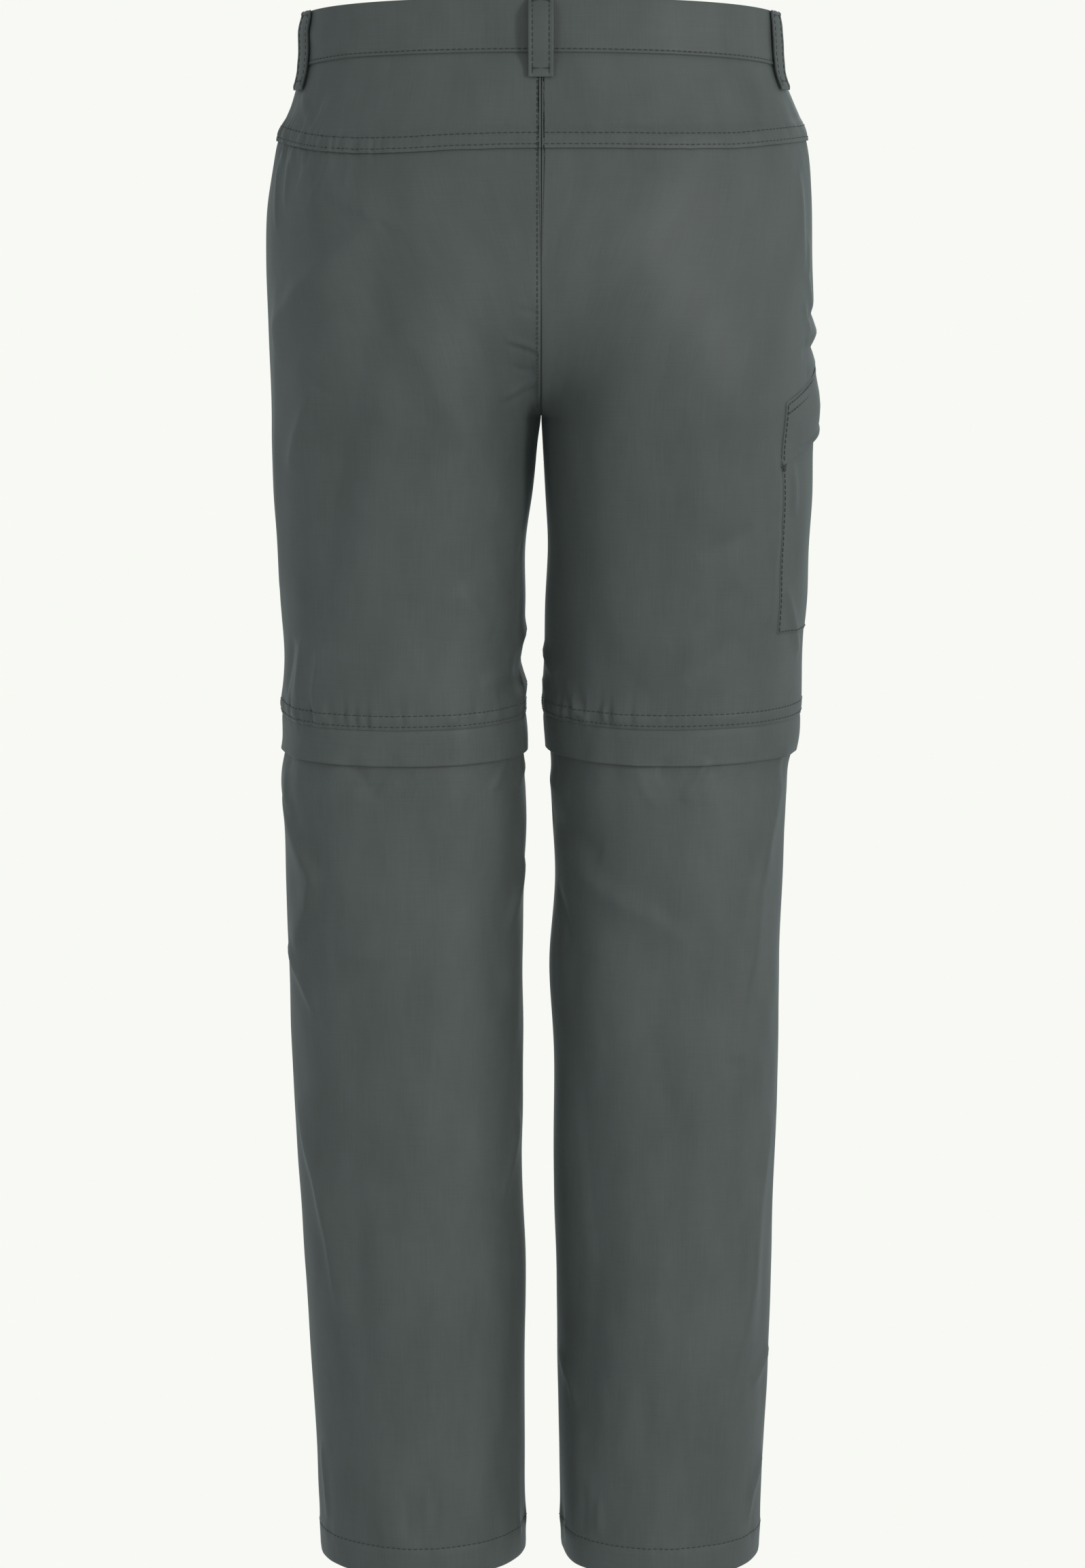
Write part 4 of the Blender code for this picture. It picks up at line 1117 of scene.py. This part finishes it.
def loop_path(gap):
    """Belt loop from its folded top end, over a belt gap, to its folded lower end."""
    seat = BAND_PROUD + SEAM_GAP + LOOP_CLOTH / 2 + 0.0003
    stand = BAND_PROUD + gap + LOOP_CLOTH / 2
    foot = seat + 0.0002
    rise = stand - seat
    shape = (
        (0.2, seat - 0.0006), (1.0, seat + 0.0001), (3.0, seat + 0.1 * rise), (5.5, seat + 0.43 * rise),
        (8.5, seat + 0.79 * rise), (12.5, stand), (20, stand + 0.0003), (28, stand),
        (35, stand - 0.14 * rise),
        (40, stand - 0.5 * rise), (44, foot + 0.18 * rise), (47, foot + 0.0001), (50.5, foot),
        (52.0, foot - 0.0006),
    )
    where, lifts = zip(*shape)
    fine = np.linspace(where[0], where[-1], 80)
    return list(zip(fine * MM, curve_through(where, lifts)(fine)))


def build_belt_loops():
    seam = Seam()
    places = (
        ("loop_back", "left", 180.0, LOOP_GAP, 0.0),
        ("loop_side_left", "left", LOOP_SIDE_AT_DEG, LOOP_SIDE_GAP, LOOP_TWIST_DEG),
        ("loop_side_right", "right", LOOP_SIDE_AT_DEG, LOOP_SIDE_GAP, -LOOP_TWIST_DEG),
        ("loop_front_left", "left", LOOP_FRONT_AT_DEG, LOOP_GAP, 0.0),
        ("loop_front_right", "right", LOOP_FRONT_AT_DEG, LOOP_GAP, 0.0),
    )
    for node, leg, angle, gap, twist in places:
        spine, across, face = ribbon(node, leg, angle, loop_path(gap), twist)
        for side in (-1, 1):
            line = spine + across * side * 0.66 * LOOP_HALF_WIDTH + face * (0.22 * LOOP_CLOTH + 0.00012)
            seam.along(line[2:-2], face[2:-2])
        for end in (4, len(spine) - 9):
            centre = spine[end] + face[end] * LOOP_CLOTH * 0.36
            bartack(seam, centre, across[end], face[end], LOOP_HALF_WIDTH * 0.72)
    seam.finish("stitches_loops", THREAD)


def bartack(seam, centre, across, out, half_width):
    """A dense zigzag of thread that holds a loop's end."""
    along = np.cross(out, across) * BARTACK_REACH
    lean = across * half_width * 0.04
    for number in range(BARTACK_STITCHES):
        share = -1 + 2 * (number + 0.5) / BARTACK_STITCHES
        middle = centre + across * share * half_width
        seam.stitch(middle - along - lean, middle + along + lean, out, BARTACK_THREAD)


def pocket_line(angles, start):
    """Drop of a slanted pocket line, higher towards the front."""
    return start + POCKET_SLANT * angles / POCKET_REAR_DEG


def patch(name, angles, drops, lift):
    """A sewn-on patch, whose rim lies down on the cloth below."""
    cut_piece(name, columns_of([("right", angle) for angle in angles]), drops, lift)


def pocket_columns():
    """Columns of a patch, and the share of its fullness at each: it lies flat where it is sewn."""
    inside = np.linspace(POCKET_FRONT_DEG, POCKET_REAR_DEG, 76)
    angles = np.array([POCKET_FRONT_DEG, *inside, POCKET_REAR_DEG])
    to_rear = (POCKET_REAR_DEG - angles) / POCKET_REAR_DEG
    to_front = (angles - POCKET_FRONT_DEG) / -POCKET_FRONT_DEG
    full = smooth(to_rear / POCKET_EASE) * smooth(to_front / POCKET_EASE)
    rim = np.array([1.0, *[0.0] * 76, 1.0])
    return angles, full, rim


def flap_lift(height, full):
    """Lift of the pocket's flap at a height below its top, over the pocket's fullness."""
    flat, raised = profile(FLAP_SEWN_PROFILE, height), profile(FLAP_FREE_PROFILE, height)
    return flat + (raised - flat) * full


def build_pocket():
    """Side pocket with its flap, sewn round and held by bartacks at the mouth's corners."""
    angles, full, rim = pocket_columns()
    mouth = pocket_line(angles, POCKET_FLAP_TOP + POCKET_MOUTH)
    shares = np.array([0, *np.linspace(0, 1, 70), 1])
    foot = np.array([0.0] * 71 + [1.0])
    drops = mouth + (POCKET_FOOT - mouth) * shares[:, None]
    swell = POCKET_SWELL * np.sin(math.pi * shares)[:, None] ** 0.8 * full
    lift = POCKET_SEWN + swell - np.maximum(rim[None, :], foot[:, None]) * (POCKET_SEWN + 0.0002)
    patch("pocket", angles, drops, lift)
    roll = ROLL[:-1]
    hanging = [0, *stations(0.0004, POCKET_FLAP_HEIGHT, 0.0012)]
    height = np.array([*hanging, *(POCKET_FLAP_HEIGHT + past for past, _ in roll)])[:, None]
    sink = np.array([*[0.0] * len(hanging), *(sunk for _, sunk in roll)])[:, None]
    ripple = 0.0004 * np.sin(np.radians(angles * 11) + 0.6) * full
    drops = pocket_line(angles, POCKET_FLAP_TOP) + height
    lift = flap_lift(height, full) + sink + ripple
    patch("pocket_flap", angles, drops, lift * (1 - rim) - 0.0002 * rim)
    sew_pocket()


def sew_pocket():
    seam = Seam()
    inset = math.degrees(0.0016 / LEG_RADIUS)
    for angle in (POCKET_FRONT_DEG + inset, POCKET_REAR_DEG - inset):
        low = pocket_line(angle, POCKET_FLAP_TOP + POCKET_FLAP_HEIGHT + 0.002)
        drops = np.linspace(low, POCKET_FOOT - 0.0016, 200)
        seam.row("right", np.full(200, angle), drops, POCKET_SEWN + THREAD_RADIUS)
        height = np.linspace(0.002, POCKET_FLAP_HEIGHT - 0.002, 80)
        drops = pocket_line(angle, POCKET_FLAP_TOP) + height
        seam.row("right", np.full(80, angle), drops, flap_lift(height, 0.0) + THREAD_RADIUS)
        centre, out = surface("right", np.array((angle, angle + 2.0)), np.array((low, low)), 0.0012)
        across = (centre[1] - centre[0]) / np.linalg.norm(centre[1] - centre[0])
        star(seam, centre[0], across, out[0])
    angles = np.linspace(POCKET_FRONT_DEG + inset, POCKET_REAR_DEG - inset, 300)
    seam.row("right", angles, np.full(300, POCKET_FOOT - 0.0016), POCKET_SEWN + THREAD_RADIUS)
    for below_top in (0.0020, 0.0080):
        lift = flap_lift(below_top, 0.3) + THREAD_RADIUS
        seam.row("right", angles, pocket_line(angles, POCKET_FLAP_TOP) + below_top, lift)
    seam.finish("stitches_pocket", THREAD)


def star(seam, centre, across, out):
    """Crossed bartacks at a pocket's corner."""
    along = np.cross(out, across)
    for turn in np.radians((0, 60, 120)):
        direction = math.cos(turn) * across + math.sin(turn) * along
        for lay in (-0.0003, 0.0, 0.0003):
            middle = centre + np.cross(out, direction) * lay
            reach = direction * STAR_REACH
            seam.stitch(middle - reach, middle + reach, out, STAR_THREAD)


def build_fly():
    """Fly placket: its free edge at the centre, its sewn edge rounded below."""
    end_deg = -180.0 + FLY_SPAN_DEG
    inside = np.linspace(-180, end_deg, 31)
    angles = np.array([-177.0, -177.0, -178.0, -179.0, *inside, end_deg, end_deg])
    legs = ["right"] * 4 + ["left"] * 33
    tucks = np.zeros(len(angles))
    tucks[:2] = (-0.0012, -0.0003)
    blend = np.zeros(len(angles))
    blend[-10:] = np.linspace(0, 1, 10)
    columns = columns_of(list(zip(legs, angles)), tucks)
    top = waist_lines(columns, WAISTBAND_HEIGHT)
    across = np.clip((angles + 180) / FLY_SPAN_DEG, 0, 1) * (np.array(legs) == "left")
    corner = FLY_CORNER * (1 - np.sqrt(np.maximum(1 - across**2.4, 0)))
    shares = np.array([-0.04, *np.linspace(0, 1, 60), 1.0, 1.0])
    drops = top + (FLY_DROP - corner - top) * np.clip(shares, -0.04, 1)[:, None]
    end = np.array([0.0] * 61 + [0.5, 1.0])
    lift = 0.0018 - 0.0015 * np.maximum(blend[None, :], end[:, None])
    lift = 0.0004 + (lift - 0.0004) * smooth((drops - top - 0.0005) / 0.009)
    lift = lift + profile(FRONT_TOP_PROFILE, drops - top)
    cloth_piece("fly_cloth", "fly", columns, drops, lift, CLOTH_FINISH, FLY_CUT)
    seam = Seam()
    for inset in (0.80, 0.95):
        turn = np.linspace(0, 1, 260)
        side = -180 + FLY_SPAN_DEG * inset
        start = waist_line("left", side, WAISTBAND_HEIGHT) + 0.002
        foot = FLY_DROP - 0.004 - (0.95 - inset) * 0.03
        bend = 0.62
        down = np.where(turn < bend, turn / bend, 1)
        round_it = np.clip((turn - bend) / (1 - bend), 0, 1) * math.pi / 2
        angles = np.where(turn < bend, side, -180 + (side + 180) * np.cos(round_it))
        drops = start + (foot - FLY_CORNER - start) * down + FLY_CORNER * np.sin(round_it)
        seam.row("left", angles, drops, 0.0019)
    seam.finish("stitches_fly", THREAD)


def dress_button():
    """The button keeps its solid; thread crosses its holes and a worked buttonhole shows beside it."""
    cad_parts["button"].data.materials.clear()
    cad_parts["button"].data.materials.append(BUTTON)
    low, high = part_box("button")
    centre = np.array((low + high) / 2)
    seam = Seam()
    out = np.array((0.0, -1.0, 0.0))
    face = np.array((centre[0], low[1] + 0.0010, centre[2]))
    reach = 0.0018
    for x in (-reach, reach):
        for shift in (-0.0003, 0.0003):
            start = face + np.array((x + shift, 0, -reach))
            seam.stitch(start, start + np.array((0, 0, 2 * reach)), out, 0.00032)
    line = waist_line("right", -174.0, WAISTBAND_HEIGHT / 2)
    for side in (-1, 1):
        for number in range(34):
            angle = -180 + number * 0.42
            drops = line + side * np.array((0.0004, 0.0020))
            ends, normals = surface("left", np.full(2, angle), drops, 0.0010)
            seam.stitch(ends[0], ends[1], normals[0], 0.00022)
    seam.finish("stitches_button", THREAD)


def dress_sliders():
    for leg in SIDE:
        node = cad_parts[f"zip_slider_{leg}"]
        node.data.materials.clear()
        node.data.materials.append(METAL)


# Camera: the photograph's frame is 1596 by 2306 pixels, taken from behind and a little above the middle
PHOTO_HEIGHT = 2306
MM_PER_PIXEL = 0.46
CAMERA_DISTANCE = 3.2
CAMERA_PITCH = math.radians(7.0)
PHOTO_CENTRE_Z = -0.494
PHOTO_CENTRE_X = -0.0009
SENSOR = 36.0


def add_camera():
    data = bpy.data.cameras.new("camera")
    data.sensor_width = SENSOR
    data.lens = SENSOR * CAMERA_DISTANCE / (MM_PER_PIXEL * MM * PHOTO_HEIGHT)
    camera = bpy.data.objects.new("camera", data)
    bpy.context.scene.collection.objects.link(camera)
    back = CAMERA_DISTANCE * math.cos(CAMERA_PITCH)
    above = CAMERA_DISTANCE * math.sin(CAMERA_PITCH)
    camera.location = (PHOTO_CENTRE_X, back, PHOTO_CENTRE_Z + above)
    aim = Vector((PHOTO_CENTRE_X, 0, PHOTO_CENTRE_Z)) - camera.location
    camera.rotation_euler = aim.to_track_quat("-Z", "Y").to_euler()
    bpy.context.scene.camera = camera


def add_softbox(name, place, aim, size, power, tint):
    data = bpy.data.lights.new(name, "AREA")
    data.shape = "RECTANGLE"
    data.size, data.size_y = size
    data.energy = power
    data.color = tint
    light = bpy.data.objects.new(name, data)
    bpy.context.scene.collection.objects.link(light)
    light.location = place
    direction = Vector(aim) - light.location
    light.rotation_euler = direction.to_track_quat("-Z", "Y").to_euler()


def add_world():
    world = bpy.data.worlds.new("studio")
    world.use_nodes = True
    tree = world.node_tree
    backdrop = tree.nodes["Background"]
    backdrop.inputs["Color"].default_value = colour(248, 249, 244)
    backdrop.inputs["Strength"].default_value = 1.0
    fill = tree.nodes.new("ShaderNodeBackground")
    fill.inputs["Color"].default_value = (0.93, 0.97, 1.0, 1)
    fill.inputs["Strength"].default_value = 0.48
    seen = tree.nodes.new("ShaderNodeLightPath")
    pick = tree.nodes.new("ShaderNodeMixShader")
    tree.links.new(seen.outputs["Is Camera Ray"], pick.inputs["Fac"])
    tree.links.new(fill.outputs[0], pick.inputs[1])
    tree.links.new(backdrop.outputs[0], pick.inputs[2])
    tree.links.new(pick.outputs[0], tree.nodes["World Output"].inputs["Surface"])
    bpy.context.scene.world = world


FLOOR_Z = -1.22


def add_floor():
    mesh = bpy.data.meshes.new("floor")
    reach = 0.5
    corners = [(-reach, -reach, 0), (reach, -reach, 0), (reach, reach, 0), (-reach, reach, 0)]
    mesh.from_pydata(corners, [], [(0, 1, 2, 3)])
    floor = bpy.data.objects.new("floor", mesh)
    floor.location.z = FLOOR_Z
    bpy.context.scene.collection.objects.link(floor)
    floor.visible_diffuse = False
    floor.visible_glossy = False
    finish = Finish("floor_paper", Roughness=1.0, Specular_IOR_Level=0.0, Emission_Strength=1.0)
    finish.shader.inputs["Base Color"].default_value = colour(20, 20, 20)
    finish.shader.inputs["Emission Color"].default_value = colour(248, 249, 244)
    mesh.materials.append(finish.material)


def add_lights():
    middle = (0, 0, -0.5)
    add_softbox("key", (-2.35, 2.35, 0.35), middle, (0.6, 1.4), 40, (1.0, 0.985, 0.96))
    add_softbox("fill", (1.65, 2.85, 0.0), middle, (1.0, 1.2), 10, (1.0, 1.0, 0.99))
    add_softbox("rim_left", (2.4, 0.9, 0.3), middle, (0.3, 1.8), 1.5, (0.9, 0.97, 1.0))
    add_softbox("rim_right", (-2.4, -0.9, 0.2), middle, (0.3, 1.8), 4, (0.78, 1.0, 0.98))
    add_softbox("front_key", (0.3, -3.2, 0.6), middle, (0.6, 1.2), 45, (1.0, 0.985, 0.96))
    add_softbox("front_fill", (-0.5, -2.9, 1.3), middle, (1.0, 0.8), 60, (1.0, 1.0, 0.99))


def build_trousers():
    build_waistband()
    for leg in SIDE:
        build_yoke(leg)
        build_back(leg)
        build_front(leg)
        sew_knee(leg)
        build_knee_flap(leg)
        build_knee_zip(leg)
        build_lower_leg(leg, 1)
        build_lower_leg(leg, -1)
        sew_hem(leg)
    sew_centre_seams()
    build_belt_loops()
    build_pocket()
    build_fly()
    dress_button()
    dress_sliders()


build_trousers()
add_camera()
add_world()
add_floor()
add_lights()
bpy.context.scene.view_settings.view_transform = "Standard"
